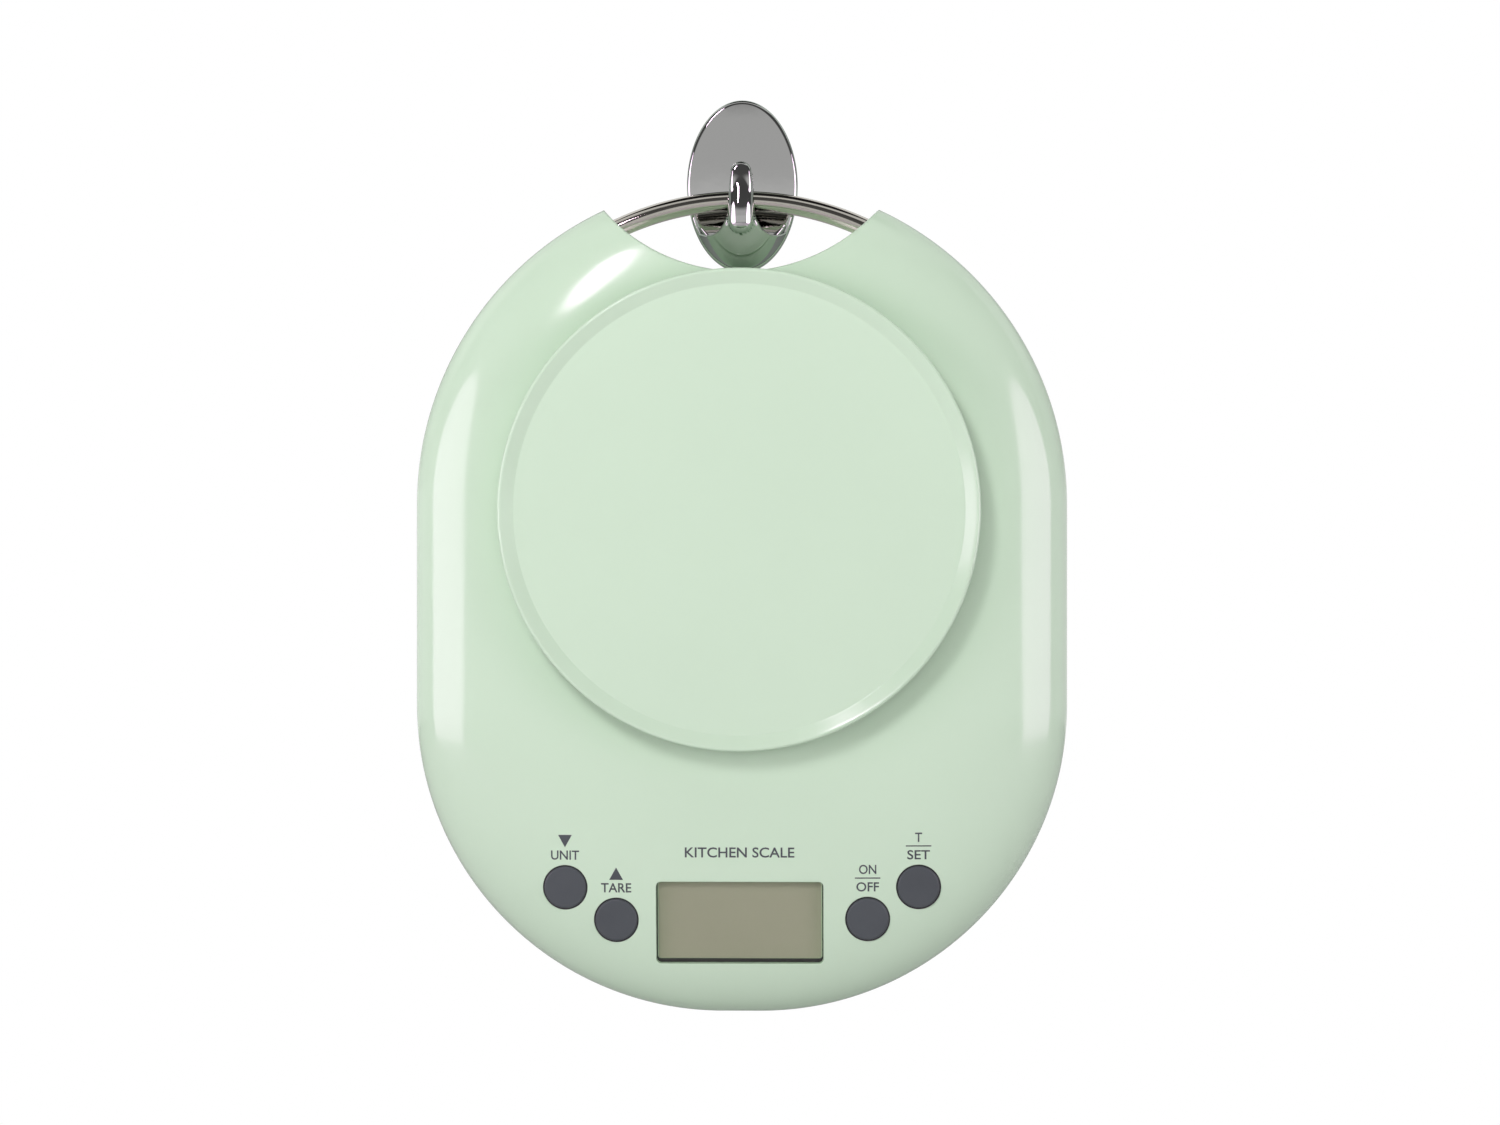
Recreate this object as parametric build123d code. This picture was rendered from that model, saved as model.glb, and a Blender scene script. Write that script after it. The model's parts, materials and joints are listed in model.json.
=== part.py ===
"""Digital kitchen scale with timer, hanging by its steel bar on an adhesive wall hook.

Frame: millimetres, +X to the right, +Z up, the front of the scale faces -Y. The wall is the
plane Y = 0 and the origin is the middle of the hook's adhesive face. A "depth" is a distance
from the wall towards the front, so a point at depth d has Y = -d.
"""
import math
import os

from build123d import *

# --- Wall hook -----------------------------------------------------------------------------
HOOK_HALF_WIDTH = 15.9
HOOK_HALF_HEIGHT = 24.7
HOOK_BULGE = 17.2            # how far the egg-shaped front stands off the wall
HOOK_PLATE_FRONT = 4.5       # depth of the plate's flat front face
HOOK_RIM_FILLET = 1.2
HOOK_WALL = 2.7              # thickness of the cup and finger
PAD_THICKNESS = 1.0
PAD_MARGIN = 1.6
FINGER_TOP = 6.3             # height of the finger's tip
FINGER_BASE_WIDTH = 7.6
FINGER_TIP_WIDTH = 6.0
SCALLOP = (9.5, -9.2, 4.7, 5.0)   # centre x and z, half-width and depth of each cup scallop
SADDLE_WIDTH = 5.0
SADDLE_CLEARANCE = 0.12

# --- Hanging bar ---------------------------------------------------------------------------
BAR_RADIUS = 2.8
BAR_DEPTH = 10.5             # depth of the bar's centreline, also of the shells' joint
BAR_TOP_Z = -4.6             # the bar's centreline where it lies in the hook
BAR_ARC_RADIUS = 83.8
BAR_HALF_ANGLE = 38.0        # where the arc ends inside the horns
BAR_BEND_RADIUS = 6.0
BAR_BEND_ANGLE = 80.0
BAR_LEG = 6.0
BAR_CENTRE_Z = BAR_TOP_Z - BAR_ARC_RADIUS
CLAMP_ANGLE = 32.5           # where each clamp sits along the arc
CLAMP_LENGTH = 11.0
CLAMP_INWARD = 12.5          # the clamp's reach from the bar towards the middle of the arc
CLAMP_OUTWARD = 3.4
CLAMP_SCREW_INWARD = 8.6
CLAMP_BACK_DEPTH = 6.2
BAR_FIT = 0.05               # clearance round the bar in the shells and clamps

# --- Body outline, seen from the front -------------------------------------------------------
BODY_RADIUS = 93.0           # round top, and half of the width
BODY_TOP_CENTRE_Z = -91.5
CORNER_RADIUS = 87.5         # lower corners
CORNER_CENTRE_Z = -148.6
NOTCH_RADIUS = 51.6
NOTCH_CENTRE_Z = 26.2

# --- Shells --------------------------------------------------------------------------------
JOINT_DEPTH = BAR_DEPTH
DOME_WIDTH = 46.0            # how far in from the edge the top still rises
DOME_HEIGHT = 17.0
DOME_POWER = 2.4
TOP_WALL = 2.2
TRAY_INSET = 0.5             # the tray stands back a little under the top shell's edge
TRAY_WIDTH = 8.0
TRAY_HEIGHT = 8.0
TRAY_WALL = 2.0
TRAY_POWER = 2.0
SECTIONS = 9                 # cross-sections that each shell surface runs through
BACK_DEPTH = JOINT_DEPTH - TRAY_HEIGHT          # outer face of the back
FLOOR_DEPTH = BACK_DEPTH + TRAY_WALL            # inner face of the back
DOME_DEPTH = JOINT_DEPTH + DOME_HEIGHT          # outer face of the dome's flat middle
BOSS_RADIUS = 3.5
SCREW_RADIUS = 1.45
SCREW_FIT = 0.05
HEAD_RADIUS = 2.6
HEAD_HEIGHT = 1.6
HOUSING_HEAD_SEAT = BACK_DEPTH + 2.4
HOUSING_SCREWS = ((62.0, -40.0), (78.0, -112.0), (64.0, -188.0), (33.0, -220.5))

# --- Platform and its carrier -----------------------------------------------------------------
PLATFORM_CENTRE_Z = -93.0
PLATFORM_RADIUS = 68.1
PLATFORM_FLAT_RADIUS = 63.6    # the flat weighing surface, which lies a little below the rim
PLATFORM_FLAT_DEPTH = 34.8
PLATFORM_TOP_DEPTH = 36.0      # crest of the raised rim
PLATFORM_LIP_RADIUS = 66.7     # where the rim's inner slope reaches the lip
PLATFORM_LIP_ROUND = 0.6
PLATFORM_SKIRT_DEPTH = 30.6
PLATFORM_WALL = 2.4
PLATFORM_BOSS_RADIUS = 5.0
PLATFORM_RIB_REACH = 52.0
PLATFORM_SCREW_TIP = PLATFORM_FLAT_DEPTH - 1.2
POST_CIRCLE = 40.0
POST_RADIUS = 3.5
POST_HOLE_RADIUS = 4.6
POST_TOP_DEPTH = 28.6
POST_ANGLES = (45, 135, 225, 315)

# --- Load cell ---------------------------------------------------------------------------------
CELL_LENGTH = 60.0
CELL_WIDTH = 12.0
CELL_BACK_DEPTH = 8.5
CELL_FRONT_DEPTH = 16.5
CELL_SCREW_OFFSETS = (24.0, 15.5)   # screws from the middle of the bar, at each end
CELL_SCREW_CLEARANCE = 0.25
TRAVEL_GAP = 0.6             # room for the bar's bending under load
SPACER_FRONT_DEPTH = 20.3
CARRIER_FRONT_DEPTH = 23.0
SPACER_LENGTH = 17.0

# --- Controls ----------------------------------------------------------------------------------
BUTTONS = {"unit": (-49.5, -200.0), "tare": (-35.0, -209.2),
           "on_off": (36.2, -208.8), "set": (50.6, -199.7)}
BUTTON_RADIUS = 6.3
BUTTON_GAP = 0.3
BUTTON_FLANGE_RADIUS = 7.3
BUTTON_FLANGE_DEPTHS = (19.3, 20.3)
BUTTON_PROUD = 0.25
PCB_BACK_DEPTH = 12.5
PCB_FRONT_DEPTH = 14.1
SWITCH_SIZE = 6.0
SWITCH_TOP_DEPTH = 17.6
PLUNGER_TOP_DEPTH = 18.9
PLUNGER_RADIUS = 1.7
PCB_HALF_WIDTH = 56.0
PCB_TOP_Z = -187.0
PCB_BOTTOM_Z = -215.0
PCB_SCREWS = ((-43.0, -191.5), (43.0, -191.5), (-28.5, -196.0), (28.5, -196.0))

# --- Display, in a frame that follows the slope of the dome ----------------------------------------
WINDOW_CENTRE_Z = -209.95
WINDOW_DEPTH = 25.86
WINDOW_TILT = 8.0
WINDOW_WIDTH = 47.4
WINDOW_HEIGHT = 23.6
WINDOW_CORNER = 1.4
WINDOW_RECESS = 0.6
WINDOW_THICKNESS = 1.2
WINDOW_GAP = 0.15
APERTURE_WIDTH = 46.2
APERTURE_HEIGHT = 22.0
APERTURE_LIFT = 0.4
LEDGE_THICKNESS = 0.6
PANEL_WIDTH = 50.0
PANEL_HEIGHT = 26.0
PANEL_THICKNESS = 2.2
HOLDER_BORDER = 2.2
HOLDER_THICKNESS = 1.6

# --- Batteries and their door in the back -----------------------------------------------------------
BATTERY_RADIUS = 5.15
BATTERY_LENGTH = 44.0
BATTERY_DEPTH = 10.2
BATTERY_PITCH = 11.2
CONTACT_THICKNESS = 0.4
SPRING_TURNS = 3
SPRING_WIRE_RADIUS = 0.35
SPRING_RADIUS = 3.6
BAY_CENTRE_Z = -156.0
BAY_HALF_LENGTH = 25.0
BAY_HALF_HEIGHT = 11.5
BAY_WALL = 1.5
BAY_FRONT_DEPTH = 16.0
COVER_GAP = 0.3
COVER_THICKNESS = 1.8
COVER_MARGIN = 1.8
HINGE_PIN_RADIUS = 0.8
HINGE_PIN_LENGTH = 1.0
HINGE_RELIEF = 0.8           # how far the cover's hinged edge stands back at both ends, to clear the swing
HINGE_RELIEF_HEIGHT = 2.0
LATCH_WIDTH = 12.0
LATCH_TIP_DEPTH = 7.4
THUMB_RADIUS = 7.0           # shallow round hollow below the cover, for a fingertip

# --- Feet -----------------------------------------------------------------------------------------
FOOT_RADIUS = 7.0
FOOT_REST_DEPTH = 0.0
FOOT_RECESS = 1.0
FEET = ((58.0, -78.0), (48.0, -207.0))


# ================================== helpers ==================================
def facing(depth):
    """A plane parallel to the wall: its x is +X, its y is +Z, and it faces the front."""
    return Plane(origin=(0, -depth, 0), x_dir=(1, 0, 0), z_dir=(0, -1, 0))


def slab(sketch, near, far):
    """A sketch made solid between two depths."""
    return extrude(facing(near) * sketch, far - near)


def disc(x, z, radius, near, far):
    return slab(Pos(x, z) * Circle(radius), near, far)


def block(x, z, width, height, near, far):
    return slab(Pos(x, z) * Rectangle(width, height), near, far)


def both_sides(points):
    """Points given for the right half, with their mirror images."""
    return [(side * x, z) for x, z in points for side in (-1, 1)]


def joined(shapes):
    """All shapes as one, fused where they meet."""
    first, *rest = shapes
    return first + rest if rest else first


def group(shapes):
    """Separate solids that share one node."""
    return Compound(children=[solid for shape in shapes for solid in shape.solids()])


def screw(x, z, head_depth, tip_depth, radius=SCREW_RADIUS, head_radius=HEAD_RADIUS):
    """A pan-head screw along Y with a cross recess; its head lies on the side away from its tip."""
    towards_front = 1 if tip_depth > head_depth else -1
    head_top = head_depth - towards_front * HEAD_HEIGHT
    near, far = sorted((head_top, head_depth))
    head = disc(x, z, head_radius, near, far)
    near, far = sorted((head_depth, tip_depth))
    shank = disc(x, z, radius, near, far)
    near, far = sorted((head_top, head_top + towards_front * 0.9))
    recess = slab(Pos(x, z) * (Rectangle(2.6, 0.6) + Rectangle(0.6, 2.6)), near, far)
    return head + shank - recess


def outline(inset):
    """The body's outline, moved inwards by inset: three arcs and three straight runs."""
    top = BODY_RADIUS - inset
    low = CORNER_RADIUS - inset
    centre_x = BODY_RADIUS - CORNER_RADIUS
    bottom_z = CORNER_CENTRE_Z - low
    edges = [
        CenterArc((0, BODY_TOP_CENTRE_Z), top, 0, 180),
        Line((-top, BODY_TOP_CENTRE_Z), (-top, CORNER_CENTRE_Z)),
        CenterArc((-centre_x, CORNER_CENTRE_Z), low, 180, 90),
        Line((-centre_x, bottom_z), (centre_x, bottom_z)),
        CenterArc((centre_x, CORNER_CENTRE_Z), low, 270, 90),
        Line((top, CORNER_CENTRE_Z), (top, BODY_TOP_CENTRE_Z)),
    ]
    return make_face(edges)


def pillow(inset, width, height, power, towards_front):
    """A solid on the joint plane whose edge rolls over in a superellipse to a flat face."""
    sections = []
    for step in range(SECTIONS + 1):
        angle = math.radians(90) * step / SECTIONS
        run = width * (1 - max(math.cos(angle), 0) ** (2 / power))
        rise = height * math.sin(angle) ** (2 / power)
        depth = JOINT_DEPTH + rise * (1 if towards_front else -1)
        sections.append(facing(depth) * outline(inset + run))
    return loft(sections)


def notch(extra=0.0):
    """The round bite at the top that the hook reaches into."""
    return disc(0, NOTCH_CENTRE_Z, NOTCH_RADIUS + extra, -1, DOME_DEPTH + 5)


# ================================== wall hook ==================================
def half_egg(shrink=0.0):
    """The front half of an ellipsoid that stands on the wall."""
    size = (HOOK_HALF_WIDTH - shrink, HOOK_BULGE - shrink, HOOK_HALF_HEIGHT - shrink)
    egg = scale(Sphere(1), by=size)
    front = Box(100, 50, 100, align=(Align.CENTER, Align.MAX, Align.CENTER))
    return egg & front


def hook_front_profile():
    """What is left of the egg seen from the front: a cup with two scallops, and a finger."""
    centre_x, centre_z, half_width, depth = SCALLOP
    cup = Pos(0, -30) * Rectangle(40, 2 * (30 + centre_z))
    tip_radius = FINGER_TIP_WIDTH / 2
    tip_z = FINGER_TOP - tip_radius
    finger = make_face(Polyline(
        (-FINGER_BASE_WIDTH / 2, centre_z - 1), (FINGER_BASE_WIDTH / 2, centre_z - 1),
        (FINGER_BASE_WIDTH / 2, BAR_TOP_Z), (tip_radius, tip_z),
        (-tip_radius, tip_z), (-FINGER_BASE_WIDTH / 2, BAR_TOP_Z), close=True))
    finger += Pos(0, tip_z) * Circle(tip_radius)
    scallops = [Pos(side * centre_x, centre_z) * Ellipse(half_width, depth) for side in (-1, 1)]
    return cup + finger - scallops


def make_hook_shell():
    plate = slab(Ellipse(HOOK_HALF_WIDTH, HOOK_HALF_HEIGHT), PAD_THICKNESS, HOOK_PLATE_FRONT)
    rim = plate.edges().group_by(Axis.Y)[0]
    plate = fillet(rim, HOOK_RIM_FILLET)
    egg = half_egg()
    cup = (egg - half_egg(HOOK_WALL)) & slab(hook_front_profile(), HOOK_PLATE_FRONT - 1, 30)
    saddle_top = BAR_TOP_Z - 1.2
    web = block(0, (saddle_top - 30) / 2, SADDLE_WIDTH, saddle_top + 30, HOOK_PLATE_FRONT - 1, 30) & egg
    groove = Pos(0, -BAR_DEPTH, BAR_TOP_Z) * Rot(0, 90, 0) * Cylinder(BAR_RADIUS + SADDLE_CLEARANCE, 40)
    return plate + cup + (web - groove)


def make_adhesive_pad():
    return slab(Ellipse(HOOK_HALF_WIDTH - PAD_MARGIN, HOOK_HALF_HEIGHT - PAD_MARGIN), 0, PAD_THICKNESS)


# ================================== hanging bar and clamps ==================================
def bar_path():
    """One arc, and at each end a short bend and a leg that keep the bar from turning."""
    arc = CenterArc((0, BAR_CENTRE_Z), BAR_ARC_RADIUS, 90 + BAR_HALF_ANGLE, -2 * BAR_HALF_ANGLE)
    right_bend = JernArc(arc @ 1, arc % 1, BAR_BEND_RADIUS, -BAR_BEND_ANGLE)
    right_leg = Line(right_bend @ 1, right_bend @ 1 + (right_bend % 1) * BAR_LEG)
    left_bend = mirror(right_bend, Plane.YZ)
    left_leg = mirror(right_leg, Plane.YZ)
    plane = facing(BAR_DEPTH)
    return Wire([(plane * piece).edge() for piece in (left_leg, left_bend, arc, right_bend, right_leg)])


def bar_solid(radius):
    path = bar_path()
    section = Plane(origin=path @ 0, z_dir=path % 0) * Circle(radius)
    return sweep(section, path=path)


def clamp_block(side, near, far):
    """A block across the bar inside a horn; it reaches further inwards, where its screw is."""
    middle = BAR_ARC_RADIUS - (CLAMP_INWARD - CLAMP_OUTWARD) / 2
    place = Pos(0, BAR_CENTRE_Z) * Rot(0, 0, -side * CLAMP_ANGLE) * Pos(0, middle)
    return slab(place * Rectangle(CLAMP_LENGTH, CLAMP_INWARD + CLAMP_OUTWARD), near, far)


def clamp_screw_place(side):
    angle = math.radians(CLAMP_ANGLE)
    reach = BAR_ARC_RADIUS - CLAMP_SCREW_INWARD
    return side * reach * math.sin(angle), BAR_CENTRE_Z + reach * math.cos(angle)


def make_bar_clamp(side):
    x, z = clamp_screw_place(side)
    clamp = clamp_block(side, CLAMP_BACK_DEPTH, BAR_DEPTH) & tray_hollow(0.2)
    return clamp - bar_solid(BAR_RADIUS + BAR_FIT) - disc(x, z, SCREW_RADIUS + SCREW_FIT, 0, 20)


def make_bar_clamp_screws():
    return group([screw(*clamp_screw_place(side), CLAMP_BACK_DEPTH, BAR_DEPTH + 5) for side in (-1, 1)])


# ================================== shells ==================================
def window_frame():
    """The display's frame: x to the right, y up along the slope, z out of the dome."""
    tilt = math.radians(WINDOW_TILT)
    normal = (0, -math.cos(tilt), -math.sin(tilt))
    return Plane(origin=(0, -WINDOW_DEPTH, WINDOW_CENTRE_Z), x_dir=(1, 0, 0), z_dir=normal)


def window_slab(width, height, top, thickness, corner=0.0, lift=0.0):
    """A plate under the window: top is how far its front lies below the slope."""
    sketch = RectangleRounded(width, height, corner) if corner else Rectangle(width, height)
    return extrude(window_frame() * Pos(0, lift, -top) * sketch, -thickness)


def post_places():
    for angle in POST_ANGLES:
        yield (POST_CIRCLE * math.cos(math.radians(angle)),
               PLATFORM_CENTRE_Z + POST_CIRCLE * math.sin(math.radians(angle)))


def make_top_housing():
    outer = pillow(0, DOME_WIDTH, DOME_HEIGHT, DOME_POWER, True) - notch()
    inner = pillow(TOP_WALL, DOME_WIDTH - TOP_WALL, DOME_HEIGHT - TOP_WALL, DOME_POWER, True)
    shell = outer - (inner - notch(TOP_WALL))
    lens_back = WINDOW_RECESS + WINDOW_THICKNESS
    panel_front = lens_back + LEDGE_THICKNESS
    bosses = [disc(x, z, BOSS_RADIUS, JOINT_DEPTH, DOME_DEPTH - 1) for x, z in both_sides(HOUSING_SCREWS)]
    bosses += [disc(x, z, BOSS_RADIUS - 0.5, PCB_FRONT_DEPTH, DOME_DEPTH - 1) for x, z in PCB_SCREWS]
    bosses += [clamp_block(side, BAR_DEPTH, DOME_DEPTH - 1) for side in (-1, 1)]
    bosses += [disc(x, z, BUTTON_RADIUS + BUTTON_GAP + 1.2, BUTTON_FLANGE_DEPTHS[1] + 0.8, DOME_DEPTH)
               for x, z in BUTTONS.values()]
    bosses.append(window_slab(PANEL_WIDTH + 4, PANEL_HEIGHT + 4, WINDOW_RECESS, PANEL_THICKNESS + 2.4))
    shell += joined(bosses) & outer
    cuts = [window_slab(WINDOW_WIDTH, WINDOW_HEIGHT, -5, 5 + lens_back, WINDOW_CORNER),
            window_slab(APERTURE_WIDTH, APERTURE_HEIGHT, 0, 20, lift=APERTURE_LIFT),
            window_slab(PANEL_WIDTH + 0.4, PANEL_HEIGHT + 0.4, panel_front, 8),
            bar_solid(BAR_RADIUS + BAR_FIT)]
    cuts += [disc(x, z, SCREW_RADIUS + SCREW_FIT, 0, JOINT_DEPTH + 9) for x, z in both_sides(HOUSING_SCREWS)]
    cuts += [disc(x, z, SCREW_RADIUS + SCREW_FIT, 0, 20) for x, z in PCB_SCREWS]
    cuts += [disc(*clamp_screw_place(side), SCREW_RADIUS + SCREW_FIT, 0, 16) for side in (-1, 1)]
    cuts += [disc(x, z, BUTTON_RADIUS + BUTTON_GAP, 0, DOME_DEPTH + 2) for x, z in BUTTONS.values()]
    cuts += [disc(x, z, POST_HOLE_RADIUS, 0, DOME_DEPTH + 2) for x, z in post_places()]
    return shell - cuts


def tray_hollow(shrink=0.0):
    """The space inside the bottom housing, optionally smaller all round its edge."""
    inset = TRAY_INSET + TRAY_WALL + shrink
    return pillow(inset, TRAY_WIDTH - 1, TRAY_HEIGHT - TRAY_WALL, TRAY_POWER, False) - notch(inset)


def make_bottom_housing():
    outer = pillow(TRAY_INSET, TRAY_WIDTH, TRAY_HEIGHT, TRAY_POWER, False) - notch(TRAY_INSET)
    tray = outer - tray_hollow()
    posts = [disc(x, z, BOSS_RADIUS, BACK_DEPTH, JOINT_DEPTH) for x, z in both_sides(HOUSING_SCREWS)]
    posts += [disc(x, z, FOOT_RADIUS + 1.2, BACK_DEPTH, FLOOR_DEPTH + 0.6) for x, z in both_sides(FEET)]
    cell_base_z = PLATFORM_CENTRE_Z - CELL_LENGTH / 2 + SPACER_LENGTH / 2
    posts.append(block(0, cell_base_z, CELL_WIDTH + 4, SPACER_LENGTH + 4, BACK_DEPTH, 6.5))
    posts.append(block(0, BAY_CENTRE_Z, 2 * (BAY_HALF_LENGTH + BAY_WALL), 2 * (BAY_HALF_HEIGHT + BAY_WALL),
                       BACK_DEPTH, BAY_FRONT_DEPTH + BAY_WALL))
    posts.append(cover_plate(COVER_GAP + BAY_WALL, BACK_DEPTH, FLOOR_DEPTH + BAY_WALL))
    tray += joined(posts)
    cuts = [disc(x, z, HEAD_RADIUS + 0.3, 0, HOUSING_HEAD_SEAT) for x, z in both_sides(HOUSING_SCREWS)]
    cuts += [disc(x, z, SCREW_RADIUS + SCREW_FIT, 0, JOINT_DEPTH + 1) for x, z in both_sides(HOUSING_SCREWS)]
    cuts += [disc(x, z, FOOT_RADIUS, 0, BACK_DEPTH + FOOT_RECESS) for x, z in both_sides(FEET)]
    cuts += [disc(0, z, HEAD_RADIUS + 0.3, 0, BACK_DEPTH + HEAD_HEIGHT + 0.2) for z in cell_screw_places(-1)]
    cuts += [disc(0, z, SCREW_RADIUS + SCREW_FIT, 0, 20) for z in cell_screw_places(-1)]
    cuts.append(bar_solid(BAR_RADIUS + BAR_FIT))
    cuts.append(block(0, BAY_CENTRE_Z, 2 * BAY_HALF_LENGTH, 2 * BAY_HALF_HEIGHT, 0, BAY_FRONT_DEPTH))
    cuts.append(cover_plate(COVER_GAP, BACK_DEPTH - 1, BACK_DEPTH + COVER_THICKNESS + 0.2))
    cuts.append(block(0, latch_z() + 0.3, LATCH_WIDTH + 1, 2.8, BACK_DEPTH, LATCH_TIP_DEPTH + 0.4))
    cuts.append(disc(0, latch_z() - THUMB_RADIUS + 1.0, THUMB_RADIUS, 0, BACK_DEPTH + 1.0))
    sockets = [hinge_pin(side, 0.1) for side in (-1, 1)]
    return tray - cuts - sockets


# ================================== battery bay ==================================
def cover_plate(grow, near, far):
    half_length = BAY_HALF_LENGTH + COVER_MARGIN + grow
    half_height = BAY_HALF_HEIGHT + COVER_MARGIN + grow
    return slab(Pos(0, BAY_CENTRE_Z) * RectangleRounded(2 * half_length, 2 * half_height, 2.0), near, far)


def hinge_place():
    """Depth and height of the cover's hinge axis: the middle of its rounded upper edge."""
    radius = COVER_THICKNESS / 2
    return BACK_DEPTH + radius, BAY_CENTRE_Z + BAY_HALF_HEIGHT + COVER_MARGIN - radius


def latch_z():
    """The lower edge of the bay's opening, where the latch's nib sits."""
    return BAY_CENTRE_Z - BAY_HALF_HEIGHT - 0.8


def hinge_pin(side, grow=0.0):
    """A short pin out of each end of the cover's upper edge."""
    depth, z = hinge_place()
    start = BAY_HALF_LENGTH + COVER_MARGIN - 1.0
    length = 1.0 + COVER_GAP + HINGE_PIN_LENGTH + grow
    pin = Cylinder(HINGE_PIN_RADIUS + grow, length, align=(Align.CENTER, Align.CENTER, Align.MIN))
    return Pos(side * start, -depth, z) * Rot(0, 90 * side, 0) * pin


def make_battery_cover():
    """A lid with a rounded upper edge on two hinge pins, a latch tongue and three finger ribs."""
    depth, z = hinge_place()
    radius = COVER_THICKNESS / 2
    plate = cover_plate(0, BACK_DEPTH, BACK_DEPTH + COVER_THICKNESS)
    plate -= block(0, z + 5, 80, 10, 0, 10)
    half_length = BAY_HALF_LENGTH + COVER_MARGIN
    plate -= [block(side * half_length, z, 2 * HINGE_RELIEF, 2 * HINGE_RELIEF_HEIGHT, 0, 10)
              for side in (-1, 1)]
    edge_length = 2 * (half_length - HINGE_RELIEF)
    edge = Pos(0, -depth, z) * Rot(0, 90, 0) * Cylinder(radius, edge_length)
    pins = [hinge_pin(side) for side in (-1, 1)]
    tongue = block(0, latch_z() + 1.8, LATCH_WIDTH, 1.2, BACK_DEPTH, LATCH_TIP_DEPTH)
    nib = block(0, latch_z() + 0.9, LATCH_WIDTH, 1.2, LATCH_TIP_DEPTH - 0.9, LATCH_TIP_DEPTH)
    ribs = [block(0, latch_z() + 3.5 + 1.6 * row, LATCH_WIDTH, 0.7, BACK_DEPTH - 0.4, BACK_DEPTH + 0.2)
            for row in range(3)]
    return plate + edge + pins + tongue + nib + ribs


def battery_place(row):
    return BAY_CENTRE_Z + (0.5 - row) * BATTERY_PITCH


def make_battery(row):
    """A micro cell on its side; the second one is turned end for end."""
    direction = 1 if row == 0 else -1
    can = Cylinder(BATTERY_RADIUS, BATTERY_LENGTH - 1.0, align=(Align.CENTER, Align.CENTER, Align.MAX))
    can = fillet(can.edges().filter_by(GeomType.CIRCLE), 0.4)
    nub = Cylinder(1.9, 1.0, align=(Align.CENTER, Align.CENTER, Align.MIN))
    place = Pos(direction * (BAY_HALF_LENGTH - CONTACT_THICKNESS - 1.0), -BATTERY_DEPTH, battery_place(row))
    return place * Rot(0, 90 * direction, 0) * (can + nub)


def contact_plate(side, z, height):
    """A sprung steel plate against one end of the bay."""
    x = side * (BAY_HALF_LENGTH - CONTACT_THICKNESS / 2)
    return Pos(x, -BATTERY_DEPTH, z) * Box(CONTACT_THICKNESS, 8.4, height)


def contact_spring(side, row):
    """A conical coil from a contact plate to the flat end of a cell."""
    wire = SPRING_WIRE_RADIUS
    reach = 2 * (BAY_HALF_LENGTH - CONTACT_THICKNESS) - BATTERY_LENGTH - 2 * wire
    coil = Helix(pitch=reach / SPRING_TURNS, height=reach, radius=SPRING_RADIUS, cone_angle=-12)
    section = Plane(origin=coil @ 0, z_dir=coil % 0) * Circle(wire)
    spring = sweep(section, path=Wire([coil]))
    place = Pos(side * (BAY_HALF_LENGTH - CONTACT_THICKNESS), -BATTERY_DEPTH, battery_place(row))
    return place * Rot(0, -90 * side, 0) * Pos(0, 0, wire * 0.8) * spring


# ================================== display ==================================
def make_lcd_window():
    width = WINDOW_WIDTH - 2 * WINDOW_GAP
    height = WINDOW_HEIGHT - 2 * WINDOW_GAP
    return window_slab(width, height, WINDOW_RECESS, WINDOW_THICKNESS, WINDOW_CORNER - WINDOW_GAP)


def make_lcd_panel():
    front = WINDOW_RECESS + WINDOW_THICKNESS + LEDGE_THICKNESS
    return window_slab(PANEL_WIDTH, PANEL_HEIGHT, front, PANEL_THICKNESS)


def make_lcd_holder():
    front = WINDOW_RECESS + WINDOW_THICKNESS + LEDGE_THICKNESS + PANEL_THICKNESS
    frame = window_slab(PANEL_WIDTH, PANEL_HEIGHT, front, HOLDER_THICKNESS)
    inner_width = PANEL_WIDTH - 2 * HOLDER_BORDER
    inner_height = PANEL_HEIGHT - 2 * HOLDER_BORDER
    return frame - window_slab(inner_width, inner_height, front, HOLDER_THICKNESS)


def make_lcd_ribbon():
    """A flat flexible lead from the panel's back down to the circuit board."""
    start_z, start_depth = WINDOW_CENTRE_Z + 9.4, WINDOW_DEPTH - 4.0
    end_z = PCB_TOP_Z - 6.0
    bend = (-start_depth + 2.5, start_z + 1.5)
    run = Line((-start_depth, start_z), bend)
    run += Spline(bend, (-PCB_FRONT_DEPTH - 0.15, end_z), tangents=((1, 0.6), (0, 1)))
    path = Plane.YZ * run
    section = Plane(origin=path @ 0, x_dir=(1, 0, 0), z_dir=path % 0) * Rectangle(30.0, 0.2)
    return sweep(section, path=path)


# ================================== electronics ==================================
def make_main_pcb():
    half = PCB_HALF_WIDTH
    board = make_face(Polyline(
        (-half, PCB_TOP_Z), (half, PCB_TOP_Z), (half, PCB_TOP_Z - 19), (half - 9, PCB_BOTTOM_Z),
        (9 - half, PCB_BOTTOM_Z), (-half, PCB_TOP_Z - 19), close=True))
    holes = [Pos(x, z) * Circle(SCREW_RADIUS + 0.1) for x, z in PCB_SCREWS]
    return slab(board - holes, PCB_BACK_DEPTH, PCB_FRONT_DEPTH)


def make_controller_chip():
    """The controller under its blob of black resin, behind the board."""
    blob = Pos(0, -PCB_BACK_DEPTH, -203.0) * scale(Sphere(1), by=(8.0, 2.4, 8.0))
    return blob & block(0, -203.0, 30, 30, 0, PCB_BACK_DEPTH)


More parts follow.
